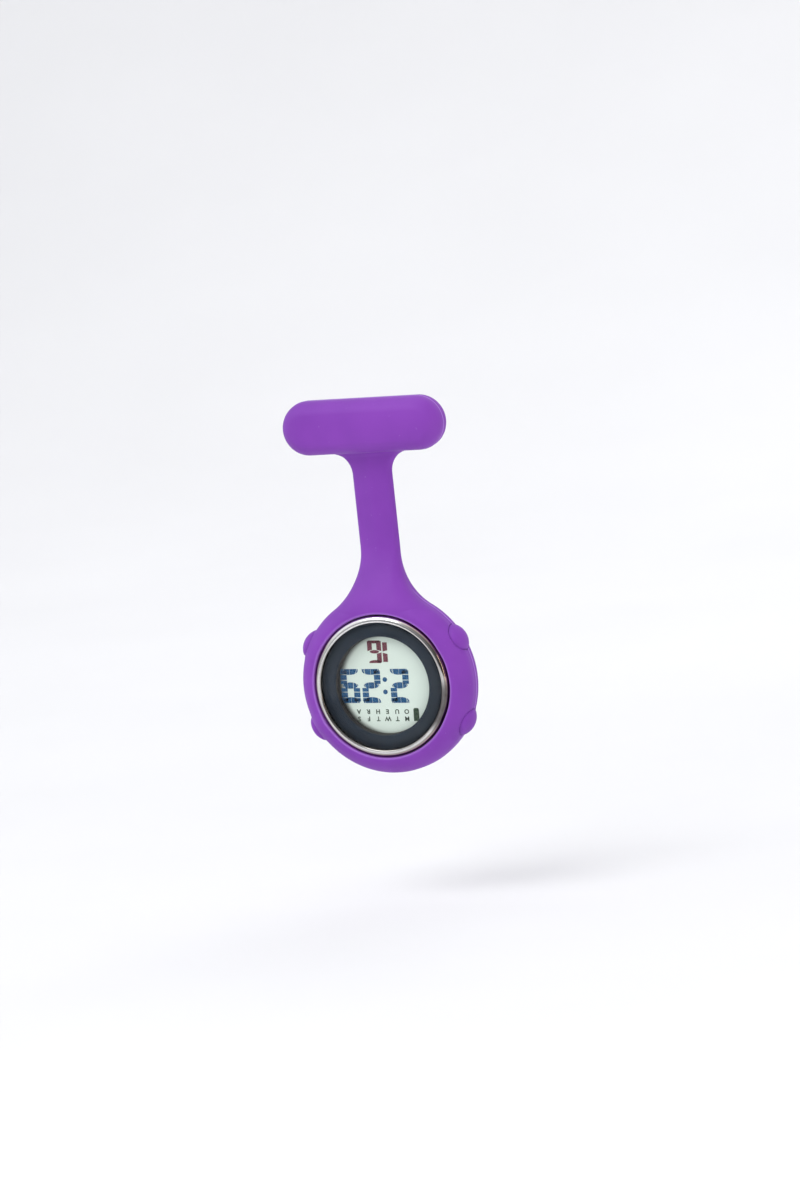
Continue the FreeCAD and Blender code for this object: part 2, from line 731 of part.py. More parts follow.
def case_body():
    """The case: a round can that is open at the back, with four button wells and four screw holes."""
    seat_back = "(seat_plane - seat_thick)"
    body = turned(
        "case_body_blank",
        [
            ("gasket_radius", "-case_back_plane"),
            ("case_radius", "-case_back_plane"),
            ("case_radius", "case_front_plane"),
            ("seat_outer", "case_front_plane"),
            ("seat_outer", "seat_plane"),
            ("seat_inner", "seat_plane"),
            ("seat_inner", seat_back),
            ("cavity_radius", seat_back),
            ("cavity_radius", "gasket_thick - case_back_plane"),
            ("gasket_radius", "gasket_thick - case_back_plane"),
        ],
    )
    screw = new_sketch(body, "screw_hole_shape", height="-case_back_plane")
    draw_circle(screw, "screw_radius", *diagonal("screw_place"))
    hole = extrude(
        body, "Pocket", screw, "screw_depth - back_thick", "screw_hole", reverse=True
    )
    repeat_round(body, hole, 4, "screw_holes")
    face_front(body, "head_drop")
    wells = button_tools("well", "well_radius", "well_floor", "pad_root - well_floor")
    through = "case_radius - clip_place"
    bores = button_tools("stem_bore", "stem_radius + stem_fit", "clip_place", through)
    return cut_away("case_body", body, wells + bores)


def diagonal(radius):
    """The two coordinates of a place at that radius, halfway between right and up."""
    return f"({radius} * cos(45))", f"({radius} * sin(45))"


def bezel():
    """The chromed ring round the lens, highest near its inner edge."""
    return face_front(
        turned(
            "bezel",
            [
                ("bezel_inner", "case_front_plane"),
                ("bezel_outer", "case_front_plane"),
                ("bezel_outer", "bezel_shoulder"),
                (
                    "bezel_outer - bezel_outer_curve",
                    "bezel_crest",
                    "bezel_outer_curve",
                    LEFT,
                ),
                (
                    "bezel_inner",
                    "bezel_crest - bezel_inner_curve",
                    "bezel_inner_curve",
                    LEFT,
                ),
            ],
        ),
        "head_drop",
    )


def lens():
    """The clear lens, bevelled at its front edge."""
    back = "(seat_plane + dial_thick)"
    front = f"({back} + lens_thick)"
    return face_front(
        turned(
            "lens",
            [
                ("0", back),
                ("seat_outer", back),
                ("seat_outer", f"{front} - lens_edge"),
                ("seat_outer - lens_edge", front),
                ("0", front),
            ],
        ),
        "head_drop",
    )


def case_back():
    """The steel back with a raised middle and four screw holes."""
    body = new_body("case_back")
    plane = "(-case_back_plane - back_thick)"
    plate = disc(body, "back_plate", "back_radius", plane, "back_thick")
    disc(body, "back_middle", "back_step_radius", f"{plane} - back_step", "2 * back_step")
    screw = new_sketch(body, "back_hole_shape", height=plane)
    draw_circle(screw, "screw_radius", *diagonal("screw_place"))
    hole = extrude(body, "Pocket", screw, "back_thick", "back_hole", reverse=True)
    repeat_round(body, hole, 4, "back_holes")
    return face_front(body, "head_drop")


def back_screws():
    """Four case screws with slotted heads."""
    body = new_body("back_screws")
    body.AllowCompound = True
    plane = "(-case_back_plane - back_thick)"
    x, y = diagonal("screw_place")
    disc(body, "screw_head", "screw_head_radius", f"{plane} - screw_head_rise", "screw_head_rise", x, y)
    disc(body, "screw_shank", "screw_radius", plane, "screw_depth", x, y)
    slot = new_sketch(body, "driver_slot_shape", height=f"{plane} - screw_head_rise")
    draw_box(
        slot,
        f"{x} - screw_slot / 2",
        f"{y} - screw_head_radius",
        f"{x} + screw_slot / 2",
        f"{y} + screw_head_radius",
    )
    extrude(body, "Pocket", slot, "screw_slot_depth", "driver_slot", reverse=True)
    doc.recompute()
    screws = doc.addObject("Part::Feature", "screw_group")
    screws.Shape = Part.makeCompound(
        [
            body.Shape.rotated(FreeCAD.Vector(0, 0, 0), FreeCAD.Vector(0, 0, 1), quarter * 90)
            for quarter in range(4)
        ]
    )
    body.Label = "back_screw_model"
    screws.Label = "back_screws"
    return face_front(screws, "head_drop")


# ---- the plungers ----


def plunger(side):
    """A plunger: a head under the soft button and a stem through the case wall."""
    body = turned(
        f"plunger_{side}",
        [
            ("0", "stem_tip"),
            ("stem_radius", "stem_tip"),
            ("stem_radius", "cap_root"),
            ("cap_radius", "cap_root"),
            ("cap_radius", "pad_root"),
            ("0", "pad_root"),
        ],
    )
    return on_button_axis(body, side)


def plunger_clip(side):
    """The clip inside the case that keeps a plunger from coming out."""
    body = flat_ring(f"plunger_clip_{side}", "stem_radius", "clip_radius", "clip_place", "clip_thick")
    return on_button_axis(body, side)


def coil(radius, length):
    """A round wire coiled about +Z as a solid, length long, whose wire starts with its middle at 0."""
    wire = number("wire_radius")
    path = Part.makeLongHelix(number("coil_pitch"), length - 2 * wire, radius)
    section = Part.Wire(
        Part.makeCircle(wire, FreeCAD.Vector(radius, 0, 0), FreeCAD.Vector(0, 1, 0))
    )
    return Part.Wire(path.Edges).makePipeShell([section], True, True)


def plunger_spring(side):
    """The spring between the floor of the well and the plunger's head."""
    spring = doc.addObject("Part::Feature", f"plunger_spring_{side}")
    length = number("cap_root - well_floor - 2 * spring_slack")
    spring.Shape = coil(number("coil_radius"), length)
    spring.Placement = button_frame(side, "well_floor + spring_slack + wire_radius")
    spring.Label = f"plunger_spring_{side}"
    return spring


# ---- the display module ----


def display_glass():
    """The display: a round glass sandwich with a flat contact ledge at top and bottom."""
    body = new_body("display_glass")
    outline = new_sketch(body, "glass_outline", height=DISPLAY_BACK)
    reach = "sqrt(display_radius^2 - display_flat^2)"
    draw(
        outline,
        [
            (reach, "-display_flat"),
            ("display_radius", "0", "display_radius", LEFT),
            (reach, "display_flat", "display_radius", LEFT),
            (f"-{reach}", "display_flat"),
            ("-display_radius", "0", "display_radius", LEFT),
            (f"-{reach}", "-display_flat", "display_radius", LEFT),
        ],
    )
    extrude(body, "Pad", outline, "display_thick", "glass")
    return face_front(body, "head_drop")


def zebra_strips():
    """The two rubber strips that join the display's ledges to the board."""
    strips = []
    for name, side in (("upper_strip", "1"), ("lower_strip", "-1")):
        strip = doc.addObject("Part::Box", name)
        strip.setExpression("Length", bound("zebra_length"))
        strip.setExpression("Width", bound("zebra_width"))
        strip.setExpression("Height", bound(f"{DISPLAY_BACK} + board_front"))
        strip.setExpression("Placement.Base.x", bound("-zebra_length / 2"))
        strip.setExpression(
            "Placement.Base.y", bound(f"{side} * zebra_place - zebra_width / 2")
        )
        strip.setExpression("Placement.Base.z", bound("-board_front"))
        strips.append(strip)
    pair = doc.addObject("Part::Compound", "zebra_strips")
    pair.Links = strips
    pair.Label = "zebra_strips"
    return face_front(pair, "head_drop")


def module_frame():
    """The plastic frame that holds display and board, with slots for strips and notches for plungers."""
    body = turned(
        "module_frame_blank",
        [
            ("frame_inner", "-board_front"),
            ("frame_radius", "-board_front"),
            ("frame_radius", "display_plane"),
            ("frame_rim", "display_plane"),
            ("frame_rim", DISPLAY_BACK),
            ("frame_inner", DISPLAY_BACK),
        ],
    )
    slots = new_sketch(body, "slot_shape", height="-board_front")
    across = "(zebra_length / 2 + zebra_slack)"
    near = "(zebra_place - zebra_width / 2 - zebra_slack)"
    far = "(zebra_place + zebra_width / 2 + zebra_slack)"
    draw_box(slots, f"-{across}", near, across, far)
    draw_box(slots, f"-{across}", f"-{far}", across, f"-{near}")
    extrude(body, "Pocket", slots, f"board_front + {DISPLAY_BACK}", "strip_slots", reverse=True)
    face_front(body, "head_drop")
    notches = []
    for side in SIDES:
        notch = doc.addObject("Part::Box", f"notch_{side}")
        notch.setExpression("Length", bound(f"board_front + {DISPLAY_BACK}"))
        notch.setExpression("Width", bound("notch_width"))
        notch.setExpression("Height", bound("case_radius - notch_start"))
        upright = FreeCAD.Vector(0, -number(DISPLAY_BACK), 0)
        stand_on_button_axis(notch, side, upright, "notch_width", "notch_start")
        notches.append(notch)
    return cut_away("module_frame", body, notches)


def stand_on_button_axis(box, side, front, width, start):
    """Lays a box along a button's axis: Height is outward, Width across and Length front to back."""
    angle = math.radians(button_direction(side))
    outward = FreeCAD.Vector(math.cos(angle), 0, math.sin(angle))
    backward = FreeCAD.Vector(0, 1, 0)
    across = outward.cross(backward)
    turn = FreeCAD.Rotation(backward, across, outward, "ZXY")
    middle = FreeCAD.Vector(0, -number(PIN_DEPTH), -number("head_drop"))
    corner = middle + front + outward * number(start) - across * (number(width) / 2)
    box.Placement = FreeCAD.Placement(corner, turn)


def contact_leaves():
    """Four bent leaves on the board that the plungers press."""
    leaves = []
    for side in SIDES:
        upright = doc.addObject("Part::Box", f"leaf_{side}")
        upright.setExpression("Length", bound("leaf_rise"))
        upright.setExpression("Width", bound("leaf_width"))
        upright.setExpression("Height", bound("leaf_thick"))
        top = FreeCAD.Vector(0, number("board_front - leaf_rise"), 0)
        stand_on_button_axis(upright, side, top, "leaf_width", "leaf_face - leaf_thick")
        foot = doc.addObject("Part::Box", f"leaf_foot_{side}")
        foot.setExpression("Length", bound("leaf_thick"))
        foot.setExpression("Width", bound("leaf_width"))
        foot.setExpression("Height", bound("leaf_foot"))
        low = FreeCAD.Vector(0, number("board_front - leaf_thick"), 0)
        stand_on_button_axis(foot, side, low, "leaf_width", "leaf_face - leaf_foot")
        leaf = doc.addObject("Part::Fuse", f"bent_leaf_{side}")
        leaf.Base = upright
        leaf.Tool = foot
        leaves.append(leaf)
    group = doc.addObject("Part::Compound", "contact_leaves")
    group.Links = leaves
    group.Label = "contact_leaves"
    return group


def circuit_board():
    """The board behind the display."""
    body = new_body("circuit_board")
    disc(body, "board", "board_radius", f"-{BOARD_BACK}", "board_thick")
    return face_front(body, "head_drop")


def reflector():
    """The thin reflector stuck to the back of the display."""
    body = new_body("display_reflector")
    back = f"{DISPLAY_BACK} - reflector_thick"
    disc(body, "reflector_sheet", "reflector_radius", back, "reflector_thick")
    return face_front(body, "head_drop")


def chip_drop():
    """The domed drop of epoxy over the chip."""
    curve = "((chip_radius^2 + chip_rise^2) / (2 * chip_rise))"
    body = turned(
        "chip_drop",
        [
            ("0", f"-{BOARD_BACK} - chip_rise"),
            ("chip_radius", f"-{BOARD_BACK}", curve, LEFT),
            ("0", f"-{BOARD_BACK}"),
        ],
    )
    face_front(body, "head_drop + chip_place")
    body.setExpression("Placement.Base.x", bound("chip_place"))
    return body


def quartz_crystal():
    """The crystal's can, lying on the board."""
    can = doc.addObject("Part::Cylinder", "quartz_crystal")
    can.setExpression("Radius", bound("crystal_radius"))
    can.setExpression("Height", bound("crystal_length"))
    can.Placement.Rotation = FreeCAD.Rotation(FreeCAD.Vector(0, 1, 0), 90)
    can.setExpression("Placement.Base.x", bound("crystal_start"))
    can.setExpression(
        "Placement.Base.y", bound(f"-{PIN_DEPTH} + {BOARD_BACK} + crystal_radius")
    )
    can.setExpression("Placement.Base.z", bound("-head_drop - crystal_place"))
    can.Label = "quartz_crystal"
    return can


def button_cell():
    """The coin cell on the board's back, with a raised face towards the board."""
    body = turned(
        "button_cell",
        [
            ("0", f"-{BOARD_BACK} - cell_thick"),
            ("cell_radius", f"-{BOARD_BACK} - cell_thick"),
            ("cell_radius", f"-{BOARD_BACK} - cell_rim_thick"),
            ("cell_rim_radius", f"-{BOARD_BACK} - cell_rim_thick"),
            ("cell_rim_radius", f"-{BOARD_BACK}"),
            ("0", f"-{BOARD_BACK}"),
        ],
    )
    face_front(body, "head_drop - cell_place")
    body.setExpression("Placement.Base.x", bound("-cell_place"))
    return body


def cell_strap():
    """The bent steel strap that holds the cell and joins its back to the board."""
    body = new_body("cell_strap")
    shape = new_sketch(body, "strap_shape", "XZ_Plane", "-strap_width / 2")
    inner = "(cell_radius + strap_gap)"
    outer = f"({inner} + strap_thick)"
    under = f"(-{BOARD_BACK} - cell_thick)"
    draw(
        shape,
        [
            (f"-{outer}", f"{under} - strap_thick"),
            (outer, f"{under} - strap_thick"),
            (outer, f"-{BOARD_BACK}"),
            (inner, f"-{BOARD_BACK}"),
            (inner, under),
            (f"-{inner}", under),
            (f"-{inner}", f"-{BOARD_BACK}"),
            (f"-{outer}", f"-{BOARD_BACK}"),
        ],
    )
    extrude(body, "Pad", shape, "strap_width", "strap")
    face_front(body, "head_drop - cell_place")
    body.setExpression("Placement.Base.x", bound("-cell_place"))
    return body


def buzzer_disc():
    """The piezo disc stuck inside the case back."""
    body = new_body("buzzer_disc")
    disc(
        body,
        "piezo",
        "buzzer_radius",
        "-case_back_plane",
        "buzzer_thick",
        "buzzer_right",
        "-buzzer_down",
    )
    return face_front(body, "head_drop")


def buzzer_spring():
    """The little spring that joins the board to the buzzer."""
    spring = doc.addObject("Part::Feature", "buzzer_spring")
    length = f"(case_back_plane - buzzer_thick - {BOARD_BACK})"
    spring.Shape = coil(number("contact_coil"), number(length))
    face_front(spring, "head_drop + contact_down", f"{BOARD_BACK} + {length} - wire_radius")
    spring.setExpression("Placement.Base.x", bound("contact_right"))
    spring.Label = "buzzer_spring"
    return spring


def rings():
    """The plain rings of the watch, which differ only in their sizes."""
    sizes = (
        ("dial_ring", "dial_inner", "seat_outer", "seat_plane", "dial_thick"),
        (
            "display_spacer",
            "spacer_inner",
            "spacer_outer",
            "display_plane",
            "(seat_plane - display_plane)",
        ),
        ("back_gasket", "cavity_radius", "gasket_radius", "-case_back_plane", "gasket_thick"),
    )
    return [face_front(flat_ring(*size), "head_drop") for size in sizes]


pieces = [
    holder_bar(),
    holder_neck(),
    holder_ring(),
    brooch_plate(),
    hinge_rivet(),
    pin_stem(),
    safety_catch(),
    case_body(),
    bezel(),
    lens(),
    case_back(),
    back_screws(),
    display_glass(),
    reflector(),
    zebra_strips(),
    module_frame(),
    contact_leaves(),
    circuit_board(),
    chip_drop(),
    quartz_crystal(),
    button_cell(),
    cell_strap(),
    buzzer_disc(),
    buzzer_spring(),
    *rings(),
]
for station in SIDES:
    pieces += [
        button_pad(station),
        plunger(station),
        plunger_clip(station),
        plunger_spring(station),
    ]
doc.recompute()

faults = [item.Name for item in doc.Objects if {"Invalid", "Error"} & set(item.State)]
for piece in pieces:
    if piece.Shape.isNull() or not piece.Shape.isValid() or piece.Shape.Volume <= 0:
        faults.append(piece.Label)
for feature in doc.Objects:
    if feature.TypeId in ("PartDesign::Pocket", "PartDesign::Groove"):
        if feature.Shape.Volume > feature.BaseFeature.Shape.Volume - 1e-6:
            faults.append(f"{feature.Name} cuts nothing")
if faults:
    raise RuntimeError("not sound: " + ", ".join(faults))

os.makedirs("parts", exist_ok=True)
for piece in pieces:
    piece.Shape.exportStep(os.path.join("parts", f"{piece.Label}.step"))
    box = piece.Shape.BoundBox
    print(
        f"{piece.Label:28s} solids {len(piece.Shape.Solids)} volume {piece.Shape.Volume:9.3f}"
        f"  x {box.XMin:7.2f} {box.XMax:7.2f}  y {box.YMin:7.2f} {box.YMax:7.2f}"
        f"  z {box.ZMin:7.2f} {box.ZMax:7.2f}"
    )
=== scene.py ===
"""Looks of the digital nurse's fob watch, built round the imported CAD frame.

Shapes of the watch are worked out in millimetres in the CAD's front frame: x is right, y is up
and z is out of the face, measured from the watch's own middle. to_world turns them into the row
frame in metres. Sizes come from the boxes of the CAD nodes.
"""

import json
import math

import bmesh
import bpy
import numpy as np
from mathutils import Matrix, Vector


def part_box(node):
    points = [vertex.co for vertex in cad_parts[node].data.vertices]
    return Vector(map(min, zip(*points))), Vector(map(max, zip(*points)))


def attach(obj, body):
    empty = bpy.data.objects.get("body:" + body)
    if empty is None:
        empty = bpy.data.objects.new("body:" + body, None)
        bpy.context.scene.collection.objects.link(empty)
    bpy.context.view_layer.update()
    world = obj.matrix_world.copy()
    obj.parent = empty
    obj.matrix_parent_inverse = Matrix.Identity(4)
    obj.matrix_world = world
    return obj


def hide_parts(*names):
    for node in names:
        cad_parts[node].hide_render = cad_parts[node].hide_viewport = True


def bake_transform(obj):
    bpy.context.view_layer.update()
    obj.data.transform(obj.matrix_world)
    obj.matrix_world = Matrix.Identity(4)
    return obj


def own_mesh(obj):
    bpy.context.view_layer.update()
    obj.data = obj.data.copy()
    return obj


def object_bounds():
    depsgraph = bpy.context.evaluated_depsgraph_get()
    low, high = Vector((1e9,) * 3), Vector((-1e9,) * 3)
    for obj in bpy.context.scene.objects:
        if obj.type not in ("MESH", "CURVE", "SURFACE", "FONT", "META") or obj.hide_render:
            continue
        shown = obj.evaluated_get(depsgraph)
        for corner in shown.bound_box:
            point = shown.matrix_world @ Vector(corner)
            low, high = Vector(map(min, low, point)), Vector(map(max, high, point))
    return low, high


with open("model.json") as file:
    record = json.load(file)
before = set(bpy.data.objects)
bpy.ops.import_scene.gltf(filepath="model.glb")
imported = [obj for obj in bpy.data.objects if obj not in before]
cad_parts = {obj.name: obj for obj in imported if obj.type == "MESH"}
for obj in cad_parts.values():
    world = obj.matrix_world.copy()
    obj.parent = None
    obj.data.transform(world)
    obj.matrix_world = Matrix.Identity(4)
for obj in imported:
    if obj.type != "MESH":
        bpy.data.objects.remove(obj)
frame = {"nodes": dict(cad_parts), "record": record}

import openvdb
from mathutils import Matrix, Vector

cad_low, cad_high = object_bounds()

MM = 0.001
NODES = frame["nodes"]
SIDES = ("upper_right", "upper_left", "lower_left", "lower_right")


# ---- sizes read from the frame, in millimetres ----


def box_mm(node):
    """A node's lowest and highest corner in millimetres."""
    low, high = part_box(node)
    return low / MM, high / MM


case_low, case_high = box_mm("case_body")
ring_low, ring_high = box_mm("holder_ring")
bar_low, bar_high = box_mm("holder_bar")
neck_low, neck_high = box_mm("holder_neck")

MID_X = (case_low.x + case_high.x) / 2
MID_Z = (case_low.z + case_high.z) / 2
MID_Y = (ring_low.y + ring_high.y) / 2  # the ring's middle plane
PIN_UP = -MID_Z  # the pin's axis above the watch's middle


def span(node):
    """The back, the front and the radius of a round node on the watch's axis."""
    low, high = box_mm(node)
    return MID_Y - high.y, MID_Y - low.y, high.x


DISPLAY_BACK, DISPLAY_FRONT, DISPLAY_R = span("display_glass")

RING_R = ring_high.x
RING_HALF = (ring_high.y - ring_low.y) / 2
CASE_R = case_high.x
BAR_REACH = bar_high.x
BAR_HALF = bar_high.z
BAR_FRONT = MID_Y - bar_low.y
BAR_BACK = MID_Y - bar_high.y
NECK_HALF = neck_high.x
NECK_FRONT = MID_Y - neck_low.y
NECK_BACK = MID_Y - neck_high.y
ROOT_ROUND = -BAR_HALF - neck_high.z


# ---- the holder's own shape, in millimetres ----

RING_ROUND = 3.65
LIP_R, LIP_ROUND = 16.38, 0.4  # the opening in front
LIP_LEAN, LIP_DEPTH = 0.22, 1.2  # how far the lip leans in round the bezel, and over what depth
LIP_FADE = 4  # how fast the front opening's cut ends behind the middle plane
BACK_LIP_R = 16.2  # the opening behind
CAVITY_FRONT, CAVITY_BACK = 3.6, -4.2  # the room for the case

BAR_ROUND, BAR_CROWN = 2.8, 1.2
BAR_BLEND = 1.5  # the soft corner between bar and strap
STRAP_HALF = NECK_HALF + 0.22
STRAP_EDGE, STRAP_CROWN = 1.15, 0.75
RIDGE_SOFT = 0.2  # how round the ridge along the strap's middle is
RIDGE_FALL = 0.82  # what the ridge falls by from middle to edge, before it is scaled
ROOT_FILLET = ROOT_ROUND + 0.7  # the round corner between strap and bar
ROOT_SOFT, ROOT_OVERLAP = 3.0, 2.0  # how the root fades out along the bar and reaches up into it
FLARE_START = neck_low.z - MID_Z - 0.8
FLARE_ROUND = (STRAP_HALF**2 + FLARE_START**2 - RING_R**2) / (2 * (RING_R - STRAP_HALF))
FLARE_ENDS = (16.2, 31.5)  # where the ring's thickness starts and ends turning into the strap's
TANGENT_UP = FLARE_START * RING_R / (RING_R + FLARE_ROUND)  # where the flare meets the ring in line
SLOPE_STEP = 0.01

SEAM_PLANE, SEAM_HALF, SEAM_HEIGHT = -0.9, 0.17, 0.10  # the parting line's ridge
SEAM_REACH = 0.6  # how far it runs in from the outline
SEAM_FADE = (18.0, 22.0)  # where it fades out toward the strap

PAD_R, PAD_ROOT = 3.25, 18.4
PAD_CROWN, PAD_EDGE, PAD_FILLET = 21.95, 20.55, 0.3
PAD_CHAMFER = 0.15
HOLE_R, HOLE_START, CREASE = 3.31, 15, 0.14
SHOULDER_PLACE, SHOULDER_R = 15.8, 5.2  # the soft swelling round each button
SHOULDER_BLEND = 0.9

PLATE_REACH = box_mm("brooch_plate")[1].x + 0.1  # the recess for the brooch plate
PLATE_HALF = 2.5
PLATE_FRONT = -4.6


def to_world(points):
    """Front-frame points in millimetres as row-frame points in metres."""
    p = np.asarray(points, float).reshape(-1, 3)
    return np.stack([p[:, 0] + MID_X, MID_Y - p[:, 2], p[:, 1] + MID_Z], axis=1) * MM


# ---- materials ----


class Paint:
    """A node tree under construction, with short calls for its nodes."""

    def __init__(self, owner):
        self.owner = owner
        owner.use_nodes = True
        self.tree = owner.node_tree
        self.coords = None

    def node(self, kind, **values):
        """A new node, its inputs and settings given by name."""
        made = self.tree.nodes.new(kind)
        for key, value in values.items():
            if key in made.inputs:
                self.set(made, key, value)
            else:
                setattr(made, key, value)
        return made

    def set(self, node, key, value):
        """Sets an input to a value, or links it to another node's output."""
        if isinstance(value, bpy.types.NodeSocket):
            self.tree.links.new(value, node.inputs[key])
        else:
            node.inputs[key].default_value = value

    def object_place(self):
        """The place on the object, in metres."""
        if self.coords is None:
            self.coords = self.node("ShaderNodeTexCoord")
        return self.coords.outputs["Object"]

    def stretched(self, scale):
        """The place with each axis scaled."""
        mapping = self.node("ShaderNodeMapping")
        self.set(mapping, "Vector", self.object_place())
        self.set(mapping, "Scale", scale)
        return mapping.outputs["Vector"]

    def from_axis(self):
        """The place measured from the watch's own axis, flat across it."""
        flat = self.node("ShaderNodeVectorMath", operation="MULTIPLY_ADD")
        self.set(flat, 0, self.object_place())
        self.set(flat, 1, (1.0, 0.0, 1.0))
        self.set(flat, 2, (-MID_X * MM, 0.0, -MID_Z * MM))
        return flat.outputs[0]

    def axis_distance(self):
        """The distance from the watch's own axis, in metres."""
        length = self.node("ShaderNodeVectorMath", operation="LENGTH")
        self.set(length, 0, self.from_axis())
        return length.outputs["Value"]

    def axis_toward(self, right, up):
        """How far round the watch a place lies toward a direction: 1 there, 0 opposite."""
        unit = self.node("ShaderNodeVectorMath", operation="NORMALIZE")
        self.set(unit, 0, self.from_axis())
        along = self.node("ShaderNodeVectorMath", operation="DOT_PRODUCT")
        self.set(along, 0, unit.outputs[0])
        self.set(along, 1, (right, 0.0, up))
        return self.spread(along.outputs["Value"], 0, 1, -1, 1)

    def noise(self, scale, detail=3.0, rough=0.55, place=None):
        """Noise from 0 to 1, its scale in cells per metre."""
        made = self.node("ShaderNodeTexNoise")
        self.set(made, "Vector", place or self.object_place())
        self.set(made, "Scale", scale)
        self.set(made, "Detail", detail)
        self.set(made, "Roughness", rough)
        return made.outputs["Fac"]

    def ramp(self, factor, *stops):
        """A colour ramp from (place, colour) stops."""
        made = self.node("ShaderNodeValToRGB")
        elements = made.color_ramp.elements
        while len(elements) < len(stops):
            elements.new(0.5)
        for element, (place, colour) in zip(elements, stops):
            element.position = place
            element.color = (*colour[:3], 1)
        self.set(made, "Fac", factor)
        return made.outputs["Color"]

    def spread(self, factor, low, high, start=0.0, end=1.0):
        """A value mapped from start..end to low..high."""
        made = self.node("ShaderNodeMapRange")
        self.set(made, "Value", factor)
        self.set(made, "From Min", start)
        self.set(made, "From Max", end)
        self.set(made, "To Min", low)
        self.set(made, "To Max", high)
        return made.outputs["Result"]

    def mix(self, factor, first, second, blend="MIX"):
        """Two colours mixed: the first at factor 0, the second at 1."""
        made = self.node("ShaderNodeMix", data_type="RGBA", blend_type=blend)
        self.set(made, 0, factor)
        for place, value in ((6, first), (7, second)):
            if isinstance(value, bpy.types.NodeSocket):
                self.tree.links.new(value, made.inputs[place])
            else:
                made.inputs[place].default_value = (*value[:3], 1)
        return made.outputs[2]

    def maths(self, operation, first, second):
        """One sum on two values."""
        made = self.node("ShaderNodeMath", operation=operation)
        for place, value in enumerate((first, second)):
            self.set(made, place, value)
        return made.outputs[0]

    def attribute(self, name):
        """The number that each vertex carries under that name."""
        made = self.node("ShaderNodeAttribute", attribute_name=name)
        return made.outputs["Fac"]

    def bump(self, height, distance, strength=1.0, normal=None):
        """A normal roughened by a height, on top of another normal if one is given."""
        made = self.node("ShaderNodeBump")
        self.set(made, "Height", height)
        self.set(made, "Distance", distance)
        self.set(made, "Strength", strength)
        if normal is not None:
            self.set(made, "Normal", normal)
        return made.outputs["Normal"]

    def surface(self, **values):
        """Ends the material in one principled shader."""
        shader = self.node("ShaderNodeBsdfPrincipled")
        for key, value in values.items():
            name = key.replace("_", " ").title().replace("Ior", "IOR")
            if isinstance(value, tuple) and shader.inputs[name].type == "RGBA":
                value = (*value[:3], 1)
            self.set(shader, name, value)
        return self.finished(shader)

    def mix_shaders(self, factor, first, second):
        """Two shaders mixed: the first at factor 0, the second at 1."""
        made = self.node("ShaderNodeMixShader")
        for place, value in enumerate((factor, first.outputs[0], second.outputs[0])):
            self.set(made, place, value)
        return made

    def finished(self, shader):
        """The material, showing that shader."""
        output = self.node("ShaderNodeOutputMaterial")
        self.set(output, "Surface", shader.outputs[0])
        return self.owner


def material_paint(name):
    """A new, empty material to paint."""
    paint = Paint(bpy.data.materials.new(name))
    paint.tree.nodes.clear()
    return paint


def srgb(red, green, blue):
    """A colour given as it is seen on a screen, 0 to 255, as linear light."""
    return tuple(
        c / 12.92 if c <= 0.04045 else ((c + 0.055) / 1.055) ** 2.4
        for c in (red / 255, green / 255, blue / 255)
    )


def silicone_material():
    """Soft violet silicone: matte, faintly mottled, with specks of lint, and a painted highlight along
    the lip's edge and the parting line.
    """
    paint = material_paint("silicone")
    cloud = paint.noise(55, 3)
    tone = paint.ramp(cloud, (0.35, srgb(119, 54, 162)), (0.65, srgb(128, 60, 171)))
    # painted highlight: paler colour along the parting line and in a band on the lip's edge
    away = paint.maths("ABSOLUTE", paint.attribute("seam_depth"), 0.0)
    near = paint.spread(away, 0.9, 0, 0.05, 0.22)
    line = paint.maths("MULTIPLY", near, paint.attribute("seam_highlight_side"))
    pale = paint.maths("MAXIMUM", paint.attribute("edge"), line)
    paler = paint.mix(pale, tone, srgb(176, 130, 218))
    specks = paint.noise(1500, 2, 0.5)
    lint = paint.spread(specks, 0, 0.30, 0.745, 0.80)
    colour = paint.mix(lint, paler, srgb(196, 170, 226))
    matte = paint.spread(paint.noise(420, 4), 0.54, 0.68)
    grain = paint.bump(paint.noise(5200, 3, 0.6), 0.000012, 0.6)
    waves = paint.bump(paint.noise(240, 2), 0.00002, 0.5, grain)
    return paint.surface(
        base_color=colour,
        roughness=matte,
        normal=waves,
        specular_ior_level=0.3,
        sheen_weight=0.05,
        sheen_roughness=0.4,
        subsurface_weight=0.08,
        subsurface_radius=(0.9, 0.35, 1.0),
        subsurface_scale=0.0012,
    )


def metal_material(name, base, dark, low, high):
    """Drawn metal: fine lines along one way, and faint dull patches."""
    paint = material_paint(name)
    cloud = paint.noise(160, 2)
    colour = paint.ramp(cloud, (0.25, dark), (0.75, base))
    patch = paint.spread(paint.noise(240, 2, 0.5), low, high, 0.3, 0.7)
    lines = paint.noise(900, 3, 0.7, paint.stretched((0.12, 6.0, 6.0)))
    rough = paint.maths("ADD", patch, paint.spread(lines, 0, 0.09, 0.4, 0.7))
    normal = paint.bump(lines, 0.000004, 0.35)
    return paint.surface(base_color=colour, metallic=1.0, roughness=rough, normal=normal)


def turned_steel_material():
    """Steel finished on a lathe: fine rings about the watch's axis, with a few stray scratches."""
    paint = material_paint("steel_turned")
    rings = paint.node("ShaderNodeTexNoise", noise_dimensions="1D")
    paint.set(rings, "W", paint.axis_distance())
    paint.set(rings, "Scale", 9000)
    paint.set(rings, "Detail", 3)
    lines = rings.outputs["Fac"]
    stray = paint.spread(paint.noise(700, 2, 0.7, paint.stretched((5.0, 1.0, 0.3))), 0, 1, 0.70, 0.76)
    tone = paint.ramp(paint.noise(120, 2), (0.25, (0.38, 0.375, 0.37)), (0.75, (0.47, 0.465, 0.46)))
    colour = paint.mix(stray, tone, (0.72, 0.71, 0.70))
    rough = paint.spread(lines, 0.24, 0.42, 0.3, 0.7)
    normal = paint.bump(lines, 0.000012, 0.8)
    return paint.surface(base_color=colour, metallic=1.0, roughness=rough, normal=normal)


